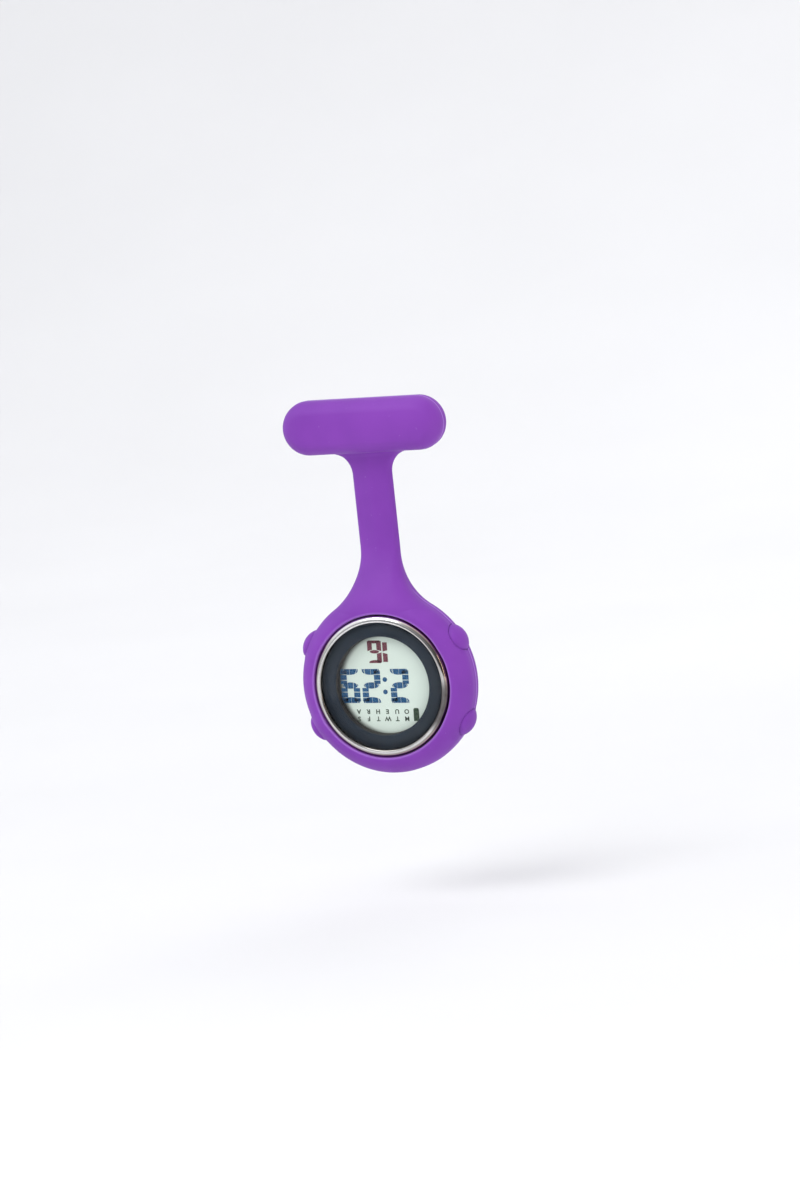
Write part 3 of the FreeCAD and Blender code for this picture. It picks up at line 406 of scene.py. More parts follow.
def chrome_material():
    """Chrome plate with painted reflections: light and dark bands across its profile, warm off its
    crest, a painted highlight at the top and a painted dark reflection on the right; with hairline
    scratches, dull dust and the odd pit.
    """
    paint = material_paint("chrome")
    # painted reflection bands across the profile, bright on the crest and warm outside: 0 at the inner
    # bevel's foot and 1 at the outer foot
    out = paint.spread(paint.axis_distance(), 0, 1, 0.01440, 0.01612)
    plate = paint.ramp(
        out,
        (0.0, (0.10, 0.09, 0.085)),
        (0.14, (0.26, 0.24, 0.22)),
        (0.24, (0.92, 0.91, 0.89)),
        (0.48, (0.90, 0.89, 0.87)),
        (0.62, (0.36, 0.32, 0.30)),
        (0.80, (0.56, 0.42, 0.36)),
        (1.0, (0.32, 0.18, 0.16)),
    )
    # painted light: lighter toward the top of the ring, darker round its sides
    above = paint.axis_toward(-0.17, 0.98)
    painted_light_level = paint.ramp(
        above,
        (0.0, (0.80, 0.80, 0.80)),
        (0.45, (0.70, 0.69, 0.68)),
        (0.78, (0.85, 0.85, 0.85)),
        (0.92, (1.0, 1.0, 1.0)),
    )
    # painted highlight: near white at the top of the ring
    lit = paint.mix(paint.spread(above, 0, 0.85, 0.86, 0.96), plate, (0.93, 0.92, 0.91))
    shaded = paint.mix(1.0, lit, painted_light_level, "MULTIPLY")
    # painted dark reflection on the right side of the ring
    painted_dark_reflection = paint.spread(paint.axis_toward(0.94, -0.34), 0, 0.88, 0.955, 0.985)
    darker = paint.mix(painted_dark_reflection, shaded, (0.05, 0.04, 0.04))
    cloud = paint.spread(paint.noise(420, 3), 0, 0.25, 0.3, 0.7)
    colour = paint.mix(cloud, darker, (0.42, 0.41, 0.40))
    pits = paint.spread(paint.noise(2600, 2), 0, 1, 0.72, 0.78)
    worn = paint.mix(pits, colour, (0.30, 0.25, 0.22))
    hair = paint.noise(1400, 3, 0.75, paint.stretched((1.0, 6.0, 0.25)))
    rough = paint.spread(hair, 0.045, 0.19, 0.35, 0.7)
    normal = paint.bump(hair, 0.000003, 0.30)
    return paint.surface(base_color=worn, metallic=1.0, roughness=rough, normal=normal)


def dial_material():
    """Slate-grey satin plastic with a few faint streaks where it has been rubbed."""
    paint = material_paint("dial_grey")
    streaks = paint.noise(300, 4, 0.6, paint.stretched((3.2, 1.0, 0.35)))
    turned = paint.spread(streaks, 0, 0.5, 0.66, 0.85)
    tone = paint.ramp(paint.noise(200, 3), (0.3, srgb(14, 28, 43)), (0.7, srgb(19, 34, 50)))
    colour = paint.mix(turned, tone, srgb(56, 66, 77))
    rough = paint.spread(paint.noise(700, 3), 0.44, 0.56)
    normal = paint.bump(paint.noise(4200, 2), 0.000002, 0.3)
    return paint.surface(base_color=colour, roughness=rough, normal=normal, specular_ior_level=0.3)


def plastic_material(name, dark, light, low, high):
    """Moulded plastic with a fine grain."""
    paint = material_paint(name)
    colour = paint.ramp(paint.noise(310, 3), (0.3, dark), (0.7, light))
    rough = paint.spread(paint.noise(800, 3), low, high)
    normal = paint.bump(paint.noise(3600, 3), 0.00001, 0.5)
    return paint.surface(base_color=colour, roughness=rough, normal=normal)


def display_material():
    """The display: pale green-grey, a faint cloud, a few specks of dust, and a painted shadow where its
    surround stands over it.
    """
    paint = material_paint("display")
    cloud = paint.noise(90, 2)
    tone = paint.ramp(cloud, (0.3, srgb(219, 230, 221)), (0.7, srgb(226, 236, 228)))
    fine = paint.noise(3800, 2)
    grained = paint.mix(paint.spread(fine, 0, 0.35, 0.3, 0.7), tone, srgb(219, 231, 224))
    dust = paint.spread(paint.noise(900, 1), 0, 0.9, 0.80, 0.825)
    dusty = paint.mix(dust, grained, (0.97, 0.99, 0.98))
    # painted shadow of the surround, from the shade attribute
    colour = paint.mix(paint.attribute("shade"), dusty, srgb(34, 30, 30))
    rough = paint.spread(fine, 0.30, 0.42)
    return paint.surface(base_color=colour, roughness=rough, specular_ior_level=0.3)


def ink_material(name, dark, light):
    """A lit display segment, uneven in tone."""
    paint = material_paint(name)
    mesh = paint.noise(2300, 2)
    colour = paint.ramp(mesh, (0.35, dark), (0.68, light))
    return paint.surface(base_color=colour, roughness=0.5, specular_ior_level=0.2)


def lens_material():
    """Clear glass that light passes through, with a film of dust and fine rubs."""
    paint = material_paint("clear_lens")
    clear = paint.node("ShaderNodeBsdfTransparent")
    paint.set(clear, "Color", (0.975, 0.985, 0.98, 1))
    gloss = paint.node("ShaderNodeBsdfGlossy")
    rubs = paint.noise(700, 4, 0.7, paint.stretched((1.0, 1.0, 0.4)))
    paint.set(gloss, "Roughness", paint.spread(rubs, 0.02, 0.08, 0.4, 0.75))
    paint.set(gloss, "Color", (1, 1, 1, 1))
    tilt = paint.node("ShaderNodeLayerWeight")
    paint.set(tilt, "Blend", 0.5)
    steep = paint.maths("POWER", tilt.outputs["Facing"], 5.0)
    pane = paint.mix_shaders(paint.spread(steep, 0.012, 0.7), clear, gloss)
    film = paint.node("ShaderNodeBsdfDiffuse")
    paint.set(film, "Color", (0.9, 0.92, 0.93, 1))
    dusty = paint.spread(paint.noise(1900, 3, 0.65), 0.0, 0.06, 0.70, 0.8)
    return paint.finished(paint.mix_shaders(dusty, pane, film))


def board_material():
    """Green solder mask with paler copper runs under it."""
    paint = material_paint("board")
    runs = paint.node("ShaderNodeTexVoronoi", feature="DISTANCE_TO_EDGE")
    paint.set(runs, "Vector", paint.object_place())
    paint.set(runs, "Scale", 700)
    tracks = paint.spread(runs.outputs["Distance"], 1, 0, 0.03, 0.06)
    colour = paint.mix(tracks, (0.015, 0.12, 0.045), (0.06, 0.26, 0.10))
    return paint.surface(base_color=colour, roughness=paint.spread(paint.noise(900), 0.3, 0.45))


PLASTICS = {  # two tones and two roughnesses
    "case_plastic": ((0.022, 0.021, 0.022), (0.034, 0.032, 0.033), 0.38, 0.55),
    "reflector_foil": ((0.62, 0.65, 0.62), (0.74, 0.77, 0.73), 0.38, 0.55),
    "zebra_rubber": ((0.28, 0.27, 0.27), (0.40, 0.38, 0.38), 0.6, 0.75),
    "epoxy": ((0.006, 0.006, 0.007), (0.014, 0.014, 0.016), 0.16, 0.28),
    "seal_rubber": ((0.012, 0.012, 0.012), (0.022, 0.022, 0.022), 0.6, 0.8),
    "spacer_wall": (srgb(14, 12, 12), srgb(44, 36, 33), 0.5, 0.7),
}
METALS = {
    "steel": ((0.74, 0.73, 0.71), (0.66, 0.65, 0.63), 0.14, 0.26),
    "brass": ((0.80, 0.60, 0.30), (0.68, 0.48, 0.22), 0.22, 0.36),
    "spring_steel": ((0.60, 0.59, 0.58), (0.48, 0.47, 0.46), 0.22, 0.34),
    "steel_pressed": ((0.40, 0.395, 0.39), (0.32, 0.315, 0.31), 0.30, 0.42),
}
INKS = {
    "ink": (srgb(22, 68, 112), srgb(52, 104, 148)),
    "ink_maroon": (srgb(98, 46, 60), srgb(132, 76, 88)),
    "ink_green": (srgb(40, 58, 48), srgb(66, 88, 66)),
    "ink_label": (srgb(46, 60, 54), srgb(72, 86, 70)),
}
MATERIALS = {
    "silicone": silicone_material(),
    "chrome": chrome_material(),
    "clear_lens": lens_material(),
    "dial_grey": dial_material(),
    "display": display_material(),
    "board": board_material(),
    "steel_turned": turned_steel_material(),
}
MATERIALS |= {name: plastic_material(name, *values) for name, values in PLASTICS.items()}
MATERIALS |= {name: metal_material(name, *values) for name, values in METALS.items()}
MATERIALS |= {name: ink_material(name, *values) for name, values in INKS.items()}
STEEL_BY_NODE = {"case_back": "steel_turned", "brooch_plate": "steel_pressed"}


def paint_nodes():
    """Gives every CAD node the procedural material of its slot, or its own steel."""
    slots = {row["node"]: row["material_slot"] for row in frame["record"]["subparts"]}
    for name, node in NODES.items():
        material = MATERIALS[STEEL_BY_NODE.get(name, slots[name])]
        for place in node.material_slots:
            place.material = material
        if not node.material_slots:
            node.data.materials.append(material)


paint_nodes()


# ---- making meshes ----


def make_object(name, points, faces, material, smooth=True):
    """An object from row-frame points in metres."""
    mesh = bpy.data.meshes.new(name)
    mesh.from_pydata([tuple(p) for p in points], [], [tuple(f) for f in faces])
    mesh.update()
    mesh.materials.append(material)
    mesh.shade_smooth() if smooth else mesh.shade_flat()
    piece = bpy.data.objects.new(name, mesh)
    bpy.context.scene.collection.objects.link(piece)
    return piece


def outward(piece):
    """Turns every face outward."""
    work = bmesh.new()
    work.from_mesh(piece.data)
    bmesh.ops.recalc_face_normals(work, faces=work.faces)
    work.to_mesh(piece.data)
    work.free()
    return piece


def make_piece(name, points, faces, material, body="watch", node=None, smooth=True):
    """A piece of the object from front-frame points, in the place of a CAD node if one is named."""
    piece = outward(make_object(name, to_world(points), faces, MATERIALS[material], smooth))
    if node:
        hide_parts(node)
    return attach(piece, body)


def arc_points(centre, radius, start, end, steps):
    """Points of an arc in a profile's plane, angles in degrees."""
    turn = (end - start) / steps
    return [
        (
            centre[0] + radius * math.cos(math.radians(start + turn * i)),
            centre[1] + radius * math.sin(math.radians(start + turn * i)),
        )
        for i in range(steps + 1)
    ]


ON_AXIS = 1e-9  # a radius below this is a single point


def turned(profile, around, axis, first, second):
    """Points and faces of a closed (radius, height) profile turned about an axis."""
    points, faces, rows = [], [], []
    for radius, height in profile:
        rows.append(len(points))
        for step in range(1 if radius < ON_AXIS else around):
            angle = 2 * math.pi * step / around
            away = first * math.cos(angle) + second * math.sin(angle)
            points.append(axis * height + radius * away)
    for i in range(len(profile)):
        j = (i + 1) % len(profile)
        a, b = rows[i], rows[j]
        from_axis, to_axis = profile[i][0] < ON_AXIS, profile[j][0] < ON_AXIS
        if from_axis and to_axis:
            continue
        for step in range(around):
            after = (step + 1) % around
            if from_axis:
                faces.append((a, b + after, b + step))
            elif to_axis:
                faces.append((a + step, a + after, b))
            else:
                faces.append((a + step, a + after, b + after, b + step))
    return points, faces


def lathe(name, profile, around, slot, node, material=None):
    """A piece of the watch turned about its axis, in the place of a CAD node."""
    right, up, front = np.eye(3)
    points, faces = turned(profile, around, front, right, up)
    return make_piece(name, points, faces, material or slot, node=node)


# ---- the silicone holder, as a distance field ----


def blend_min(a, b, width):
    """The lower of two distances with a rounded inner corner of that width."""
    share = np.clip(0.5 + 0.5 * (b - a) / width, 0, 1)
    return b + (a - b) * share - width * share * (1 - share)


def blend_max(a, b, width):
    """The higher of two distances with a rounded outer corner of that width."""
    return -blend_min(-a, -b, width)


def smoothstep(value, start, end):
    """Rises gently from 0 at the start to 1 at the end."""
    share = np.clip((value - start) / (end - start), 0, 1)
    return share * share * (3 - 2 * share)


def rounded_slab(outline, z, front, back, edge):
    """A slab between two heights with rounded edges, from the distance to its outline."""
    across = outline + edge
    through = np.maximum(z - front, back - z) + edge
    outside = np.hypot(np.maximum(across, 0), np.maximum(through, 0))
    return np.minimum(np.maximum(across, through), 0) + outside - edge


def strap_half_width(y):
    """Half the strap's width at each height, widening in a concave flare at the ring."""
    down = np.clip(FLARE_START - y, 0, FLARE_START - TANGENT_UP)
    return STRAP_HALF + FLARE_ROUND - np.sqrt(np.maximum(FLARE_ROUND**2 - down**2, 0))


def filleted(a, b, radius):
    """The union of two distances with a round inner corner of that radius."""
    corner = np.hypot(np.maximum(radius - a, 0), np.maximum(radius - b, 0))
    return np.maximum(radius, np.minimum(a, b)) - corner


def strap_slope(y):
    """How fast the half width changes with height, held at its last value below the flare."""
    y = np.maximum(y, TANGENT_UP + 2 * SLOPE_STEP)
    rise = strap_half_width(y + SLOPE_STEP) - strap_half_width(y - SLOPE_STEP)
    return rise / (2 * SLOPE_STEP)


def bar_distance(x, y, z):
    """The bar: a round-ended block with a gently crowned front."""
    up = y - PIN_UP
    along = np.maximum(np.abs(x) - (BAR_REACH - BAR_HALF), 0)
    outline = np.hypot(along, up) - BAR_HALF
    inward = np.clip(-outline / BAR_HALF, 0, 1)
    front = BAR_FRONT - BAR_CROWN * (1 - inward) ** 2
    return rounded_slab(outline, z, front, BAR_BACK, BAR_ROUND), outline


def head_distance(x, y, z):
    """The ring as a solid round block, with the strap that rises out of it as one soft slab."""
    half = strap_half_width(y)
    side = (np.abs(x) - half) / np.sqrt(1 + strap_slope(y) ** 2)
    below_bar = PIN_UP - BAR_HALF - y
    strap = filleted(side, below_bar, ROOT_FILLET)
    strap = blend_max(strap, np.abs(x) - STRAP_HALF - ROOT_FILLET, ROOT_SOFT)
    strap = np.maximum(strap, -below_bar - ROOT_OVERLAP)
    strap = np.where(y > FLARE_START, strap, side)
    strap = np.maximum(strap, -y)
    from_middle = np.hypot(x, y)
    outline = np.minimum(strap, from_middle - RING_R)
    rise = 1 - smoothstep(from_middle, *FLARE_ENDS)
    across = np.clip(np.abs(x) / half, 0, 1)
    ridge = (np.hypot(across, RIDGE_SOFT) - RIDGE_SOFT) / RIDGE_FALL
    crown = STRAP_CROWN * ridge * (1 - rise)
    front = NECK_FRONT + (RING_HALF - NECK_FRONT) * rise - crown
    back = NECK_BACK + (-RING_HALF - NECK_BACK) * rise
    edge = STRAP_EDGE + (RING_ROUND - STRAP_EDGE) * rise
    return rounded_slab(outline, z, front, back, edge), outline


def button_angles():
    """The angle of each button's axis, from the box of its plunger's clip."""
    angles = {}
    for side in SIDES:
        low, high = box_mm(f"plunger_clip_{side}")
        middle = (low + high) / 2
        angles[side] = math.atan2(middle.z - MID_Z, middle.x - MID_X)
    return angles


BUTTON_ANGLES = button_angles()


def button_place(x, y, angle):
    """A place measured along a button's axis and across it."""
    return x * math.cos(angle) + y * math.sin(angle), -x * math.sin(angle) + y * math.cos(angle)


def seam_shown(y):
    """Where the mould's parting line stands out: round the ring and along the bar, not on the strap."""
    return 1 - smoothstep(y, *SEAM_FADE) * (y < PIN_UP - BAR_HALF)


def with_shoulders(head, x, y, z):
    """The head with a soft swelling round each button."""
    for angle in BUTTON_ANGLES.values():
        along, across = button_place(x, y, angle)
        shoulder = np.sqrt((along - SHOULDER_PLACE) ** 2 + across**2 + z**2) - SHOULDER_R
        head = blend_min(head, shoulder, SHOULDER_BLEND)
    return head


def with_seam(body, outline, y, z):
    """The body with the low ridge of its mould's parting line."""
    ridge = SEAM_HEIGHT * np.exp(-(((z - SEAM_PLANE) / SEAM_HALF) ** 2))
    near_side = np.exp(-((np.minimum(outline, 0) / SEAM_REACH) ** 2))
    return body - ridge * near_side * seam_shown(y)


def with_watch_room(body, rho, z):
    """The body hollowed for the case, with a lip in front and an open back."""
    lip = LIP_R - LIP_LEAN * np.clip((RING_HALF - z) / LIP_DEPTH, 0, 1)
    body = blend_max(body, lip - rho - np.maximum(-z, 0) * LIP_FADE, LIP_ROUND)
    cavity = np.maximum(rho - CASE_R, np.maximum(z - CAVITY_FRONT, CAVITY_BACK - z))
    body = np.maximum(body, -cavity)
    return blend_max(body, -np.maximum(rho - BACK_LIP_R, z), LIP_ROUND)


def with_openings(body, x, y, z):
    """The body with a hole for each button, and the recess that the brooch plate sits in."""
    for angle in BUTTON_ANGLES.values():
        along, across = button_place(x, y, angle)
        hole = np.maximum(np.hypot(across, z) - HOLE_R, HOLE_START - along)
        body = blend_max(body, -hole, CREASE)
    recess = np.maximum(np.abs(x) - PLATE_REACH, np.abs(y - PIN_UP) - PLATE_HALF)
    return np.maximum(body, -np.maximum(recess, z - PLATE_FRONT))


def holder_outline(x, y, z):
    """Distance to the moulding's outline as it is seen from the front."""
    return np.minimum(bar_distance(x, y, z)[1], head_distance(x, y, z)[1])


def holder_distance(x, y, z):
    """Signed distance to the whole moulding, in millimetres."""
    bar, bar_outline = bar_distance(x, y, z)
    head, head_outline = head_distance(x, y, z)
    body = blend_min(with_shoulders(head, x, y, z), bar, BAR_BLEND)
    body = with_seam(body, np.minimum(bar_outline, head_outline), y, z)
    body = with_watch_room(body, np.hypot(x, y), z)
    return with_openings(body, x, y, z)


def on_surface(distance, points, rounds=4):
    """Moves points onto the field's zero surface along its gradient, a short way at a time."""
    step, furthest = 0.02, 0.12
    for _ in range(rounds):
        x, y, z = points.T
        value = distance(x, y, z)
        slope = np.stack(
            [
                distance(x + step, y, z) - distance(x - step, y, z),
                distance(x, y + step, z) - distance(x, y - step, z),
                distance(x, y, z + step) - distance(x, y, z - step),
            ],
            axis=1,
        ) / (2 * step)
        size = np.maximum((slope**2).sum(1), 0.2)
        move = -(value / size)[:, None] * slope
        reach = np.linalg.norm(move, axis=1, keepdims=True)
        points = points + move * np.minimum(1, furthest / np.maximum(reach, 1e-9))
    return points


def mesh_field(distance, low, high, cell):
    """Points and four-sided faces of a field's zero surface."""
    counts = [int(math.ceil((b - a) / cell)) + 1 for a, b in zip(low, high)]
    axes = [a + cell * np.arange(n) for a, n in zip(low, counts)]
    x, y, z = np.meshgrid(*axes, indexing="ij")
    values = distance(x, y, z).astype(np.float32)
    band = 3 * cell
    grid = openvdb.FloatGrid(background=band)
    grid.copyFromArray(np.clip(values, -band, band))
    points, quads = grid.convertToQuads(0.0)
    points = np.asarray(points, float) * cell + np.array(low)
    return on_surface(distance, points), np.asarray(quads)


def set_attribute(piece, name, values):
    """Writes one number per vertex for a material to read."""
    attribute = piece.data.attributes.new(name, "FLOAT", "POINT")
    attribute.data.foreach_set("value", np.asarray(values, np.float32))


def holder():
    """The whole silicone moulding in one skin."""
    cell = 0.2
    margin = 1.0
    low = (-RING_R - margin, -RING_R - margin, -RING_HALF - margin)
    high = (RING_R + margin, PIN_UP + BAR_HALF + margin, RING_HALF + margin)
    points, quads = mesh_field(holder_distance, low, high, cell)
    silicone = MATERIALS["silicone"]
    piece = outward(make_object("holder_silicone", to_world(points), quads, silicone))
    x, y, z = points.T
    # painted highlight: a paler narrow band on the lip's edge, and along the parting line near the
    # outline
    band = np.exp(-(((np.hypot(x, y) - LIP_R - 0.15) / 0.22) ** 2))
    set_attribute(piece, "edge", 0.5 * band * (z > RING_HALF - 0.8))
    near_side = np.clip((holder_outline(x, y, z) + 1.0) / 0.5, 0, 1)
    set_attribute(piece, "seam_depth", z - SEAM_PLANE)
    set_attribute(piece, "seam_highlight_side", near_side * seam_shown(y))
    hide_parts("holder_bar", "holder_neck", "holder_ring")
    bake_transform(piece)


# ---- the soft buttons ----


def button_axes(side):
    """A button's directions: out along its axis, round the ring, and to the front."""
    angle = BUTTON_ANGLES[side]
    out = np.array([math.cos(angle), math.sin(angle), 0])
    aside = np.array([-math.sin(angle), math.cos(angle), 0])
    return out, aside, np.array([0, 0, 1])


def button_pad(side):
    """One domed button with a rounded shoulder, on its own axis."""
    dome = (PAD_R**2 + (PAD_CROWN - PAD_EDGE) ** 2) / (2 * (PAD_CROWN - PAD_EDGE))
    rings, around = 26, 96
    profile = []
    for i in range(rings + 1):
        radius = PAD_R * (i / rings)
        height = PAD_CROWN - dome + math.sqrt(dome**2 - radius**2)
        over = max(0.0, radius - (PAD_R - PAD_FILLET)) / PAD_FILLET
        profile.append((radius, height - PAD_FILLET * (1 - math.sqrt(max(0.0, 1 - over**2)))))
    profile.append((PAD_R, PAD_ROOT + PAD_CHAMFER))
    profile.append((PAD_R - PAD_CHAMFER, PAD_ROOT))
    profile.append((0.0, PAD_ROOT))
    points, faces = turned(profile, around, *button_axes(side))
    name, body, node = f"button_dome_{side}", f"button_{side}", f"button_pad_{side}"
    piece = make_piece(name, points, faces, "silicone", body, node)
    set_attribute(piece, "seam_depth", [1.0] * len(points))  # no parting line on a button


# ---- the coils under the buttons ----

SPRING_FOOT, SPRING_TOP = 15.46, 16.54  # along the button's axis, from the watch's middle
COIL_R, COIL_PITCH = 1.1, 0.4
WIRE_R = 0.1


def button_spring(side):
    """The coil under one button."""
    out, aside, front = button_axes(side)
    length = SPRING_TOP - SPRING_FOOT - 2 * WIRE_R
    turns = length / COIL_PITCH
    steps, around = 100, 12
    points = []
    for i in range(steps + 1):
        turn = 2 * math.pi * turns * i / steps
        radial = aside * math.cos(turn) + front * math.sin(turn)
        middle = (SPRING_FOOT + WIRE_R + length * i / steps) * out + COIL_R * radial
        for step in range(around):
            t = 2 * math.pi * step / around
            points.append(middle + WIRE_R * (radial * math.cos(t) + out * math.sin(t)))
    faces = []
    for i in range(steps):
        for step in range(around):
            after = (step + 1) % around
            a, b = i * around, (i + 1) * around
            faces.append((a + step, a + after, b + after, b + step))
    faces.append(tuple(range(around)))
    faces.append(tuple(range(steps * around, (steps + 1) * around)))
    name, node = f"button_spring_{side}", f"plunger_spring_{side}"
    piece = make_piece(name, points, faces, "spring_steel", node=node)
    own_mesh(piece)


# ---- the turned pieces of the watch ----

BEZEL_INNER, BEZEL_SLACK = 14.46, 0.08
CREST_OUTER, CREST_INNER = 1.15, 0.49  # the rounds outside and inside the bezel's crest
LENS_GAP, LENS_BEVEL = 0.03, 0.16  # the gap keeps the lens off the dial's face
DIAL_INNER, DIAL_BEVEL = 11.25, 0.14
WALL_INNER, WALL_TAPER = 11.23, 0.1
SHADE_X, SHADE_Y = 0.95, 0.0  # middle of the display's unshaded part
SHADE_START, SHADE_END, SHADE_DEPTH = 10.5, 12.0, 0.96


def bezel():
    """The chromed ring: a steep outer curve, a narrow crest and a short inner bevel."""
    foot, crest, radius = span("bezel")
    inner, outer = BEZEL_INNER, radius - BEZEL_SLACK
    shoulder = crest - CREST_OUTER
    profile = [(inner, foot), (outer - 0.06, foot), (outer, foot + 0.06), (outer, shoulder)]
    profile += arc_points((outer - CREST_OUTER, shoulder), CREST_OUTER, 0, 90, 20)[1:]
    profile += arc_points((inner + CREST_INNER, crest - CREST_INNER), CREST_INNER, 90, 180, 12)
    lathe("bezel_ring", profile, 384, "chrome", "bezel")


def lens():
    """The clear lens with a polished bevel."""
    back, front, radius = span("lens")
    back += LENS_GAP
    rim = front - LENS_BEVEL
    profile = [(0, back), (radius - 0.04, back), (radius, back + 0.04), (radius, rim)]
    profile += arc_points((radius - LENS_BEVEL, rim), LENS_BEVEL, 0, 90, 5)[1:]
    profile += [(0, front)]
    lathe("lens_glass", profile, 288, "clear_lens", "lens")


def dial():
    """The grey ring under the lens, with a fine bevel round its window."""
    back, front, outer = span("dial_ring")
    edge = DIAL_INNER + DIAL_BEVEL
    profile = [(DIAL_INNER, back), (outer, back), (outer, front), (edge, front)]
    profile += arc_points((edge, front - DIAL_BEVEL), DIAL_BEVEL, 90, 180, 5)[1:]
    lathe("dial_face", profile, 288, "dial_grey", "dial_ring")


def display_pane():
    """The display's glass, carrying a painted shadow that darkens it softly toward the side where its
    surround stands over it.
    """
    steps, edge = 44, 0.1
    profile = [((DISPLAY_R - edge) * i / steps, DISPLAY_FRONT) for i in range(steps + 1)]
    profile += [(DISPLAY_R, DISPLAY_FRONT - edge), (DISPLAY_R, DISPLAY_BACK), (0, DISPLAY_BACK)]
    piece = lathe("display_pane", profile, 240, "display", "display_glass")
    places = np.array([tuple(v.co) for v in piece.data.vertices]) / MM
    # painted shadow: how far each place lies into the surround's shade
    off_middle = np.hypot(places[:, 0] - MID_X - SHADE_X, places[:, 2] - MID_Z - SHADE_Y)
    set_attribute(piece, "shade", SHADE_DEPTH * smoothstep(off_middle, SHADE_START, SHADE_END))


def spacer():
    """The dark wall between dial and display, leaning in a little toward the display."""
    back, front, outer = span("display_spacer")
    profile = [(WALL_INNER - WALL_TAPER, back), (outer, back), (outer, front), (WALL_INNER, front)]
    lathe("display_wall", profile, 240, "case_plastic", "display_spacer", "spacer_wall")


# ---- the display's segments ----

ART_TURN = math.radians(-2.0)
ART_X, ART_Y = -1.2, -0.4  # middle of the time's row from the watch's middle
ART_HEIGHT, ART_GAP = 0.05, 0.004
DIGIT_W, DIGIT_H = 4.5, 7.75
GAP = 0.13  # between the blocks of a segment
MITRE_GAP = 0.022  # between segments, as a share of a digit
SIDE_W = 0.335  # width of a small digit's upright, as a share of it
SLANT = 0.06
TIME = (("2", -6.9), ("2", -0.05), ("9", 5.05))  # each figure and its left side
TIME_DROP = 0.12
COLON, COLON_R = ((-1.13, -1.57), (-1.07, 1.25)), 0.54
SECONDS = (("1", -4.42, -10.2, 3.3, 4.75), ("6", -0.8, -10.5, 3.35, 5.15))  # left, bottom, size
DAYS = ("MO", "TU", "WE", "TH", "FR", "SA")
FIRST_DAY, DAY_STEP = -5.86, 2.31
DAY_ROWS = (7.35, 5.70)
LETTER_SIZE, LETTER_WEIGHT = 1.45, 0.03
MARKER = ((-8.8, 5.2), (-8.55, 4.95), (-7.75, 4.95), (-7.5, 5.2), (-7.5, 7.9), (-8.8, 7.9))
LIT = {"1": "bc", "2": "abged", "6": "afgedc", "9": "abfgcd"}


def art_point(u, v, lift=0.0):
    """A place in the display's upright measure as a front-frame point. It is mounted upside down."""
    turn = math.pi + ART_TURN
    x = u * math.cos(turn) - v * math.sin(turn) + ART_X
    y = u * math.sin(turn) + v * math.cos(turn) + ART_Y
    return (x, y, DISPLAY_FRONT + ART_GAP + lift)


def keep_side(outline, point, normal):
    """The part of a flat outline on the side of a line that its normal points to."""
    kept = []
    count = len(outline)
    for i in range(count):
        a, b = outline[i], outline[(i + 1) % count]
        da = (a[0] - point[0]) * normal[0] + (a[1] - point[1]) * normal[1]
        db = (b[0] - point[0]) * normal[0] + (b[1] - point[1]) * normal[1]
        if da >= 0:
            kept.append(a)
        if (da >= 0) != (db >= 0):
            t = da / (da - db)
            kept.append((a[0] + (b[0] - a[0]) * t, a[1] + (b[1] - a[1]) * t))
    return kept


def split(outlines, point, angle, gap):
    """Splits outlines along a line at that angle, leaving a gap."""
    normal = (-math.sin(math.radians(angle)), math.cos(math.radians(angle)))
    parts = []
    for outline in outlines:
        for sign in (1, -1):
            place = (point[0] + normal[0] * sign * gap / 2, point[1] + normal[1] * sign * gap / 2)
            part = keep_side(outline, place, (normal[0] * sign, normal[1] * sign))
            if len(part) > 2:
                parts.append(part)
    return parts


def half_lens(left, right, base, rise, steps=14):
    """A flat-based segment whose other edge bulges: rise is above the base, or below it if negative."""
    points = [(left, base), (right, base)]
    for i in range(1, steps):
        t = math.pi * i / steps
        x = (left + right) / 2 + (right - left) / 2 * math.cos(t)
        points.append((x, base + rise * math.sin(t) ** 0.62))
    return points


def full_lens(left, right, middle, half, steps=20):
    """A pointed oval segment."""
    points = []
    for i in range(2 * steps):
        t = math.pi * i / steps
        x = (left + right) / 2 + (right - left) / 2 * math.cos(t)
        points.append((x, middle + half * math.copysign(abs(math.sin(t)) ** 1.15, math.sin(t))))
    return points


def big_segments():
    """The seven segments of a large digit in a unit cell, each as a list of blocks."""
    thin = GAP / DIGIT_W
    top = split([half_lens(0.05, 0.97, 1.0, -0.17)], (0.18, 0), 90, thin)
    top = split(top, (0.50, 0), 90, thin * 0.6)
    bottom = split([half_lens(0.05, 0.97, 0.0, 0.17)], (0.82, 0), 90, thin)
    bottom = split(bottom, (0.50, 0), 90, thin * 0.6)
    middle = split([full_lens(0.09, 0.91, 0.485, 0.092)], (0.34, 0), 90, thin)
    middle = split(middle, (0.64, 0), 90, thin * 0.6)

    def column(left, right, low, high):
        shape = [[(left, low), (right, low), (right, high), (left, high)]]
        size = high - low
        shape = split(shape, (0, low + size * 0.30), 0, thin * 0.75)
        return split(shape, (0, low + size * 0.72), 0, thin * 0.75)

    return {
        "a": top,
        "d": bottom,
        "g": middle,
        "b": column(0.67, 1.0, 0.56, 0.955),
        "c": column(0.67, 1.0, 0.045, 0.44),
        "f": column(0.0, 0.33, 0.56, 0.955),
        "e": column(0.0, 0.33, 0.045, 0.44),
    }


def mitred(segments, lit):
    """Cuts the slanting gaps between a digit's segments."""
    blocks = []
    for name in lit:
        parts = segments[name]
        corner = {
            "a": [((0.83, 0.90), 52), ((0.17, 0.90), 128)],
            "d": [((0.17, 0.10), 52), ((0.83, 0.10), 128)],
            "g": [((0.83, 0.52), 128), ((0.17, 0.45), 128)],
        }.get(name, [])
        for place, angle in corner:
            parts = split(parts, place, angle, MITRE_GAP)
        blocks += parts
    return blocks


def place_blocks(blocks, left, bottom, width, height):
    """Blocks of a unit cell as outlines on the display, in millimetres."""
    return [[(left + u * width, bottom + v * height) for u, v in block] for block in blocks]


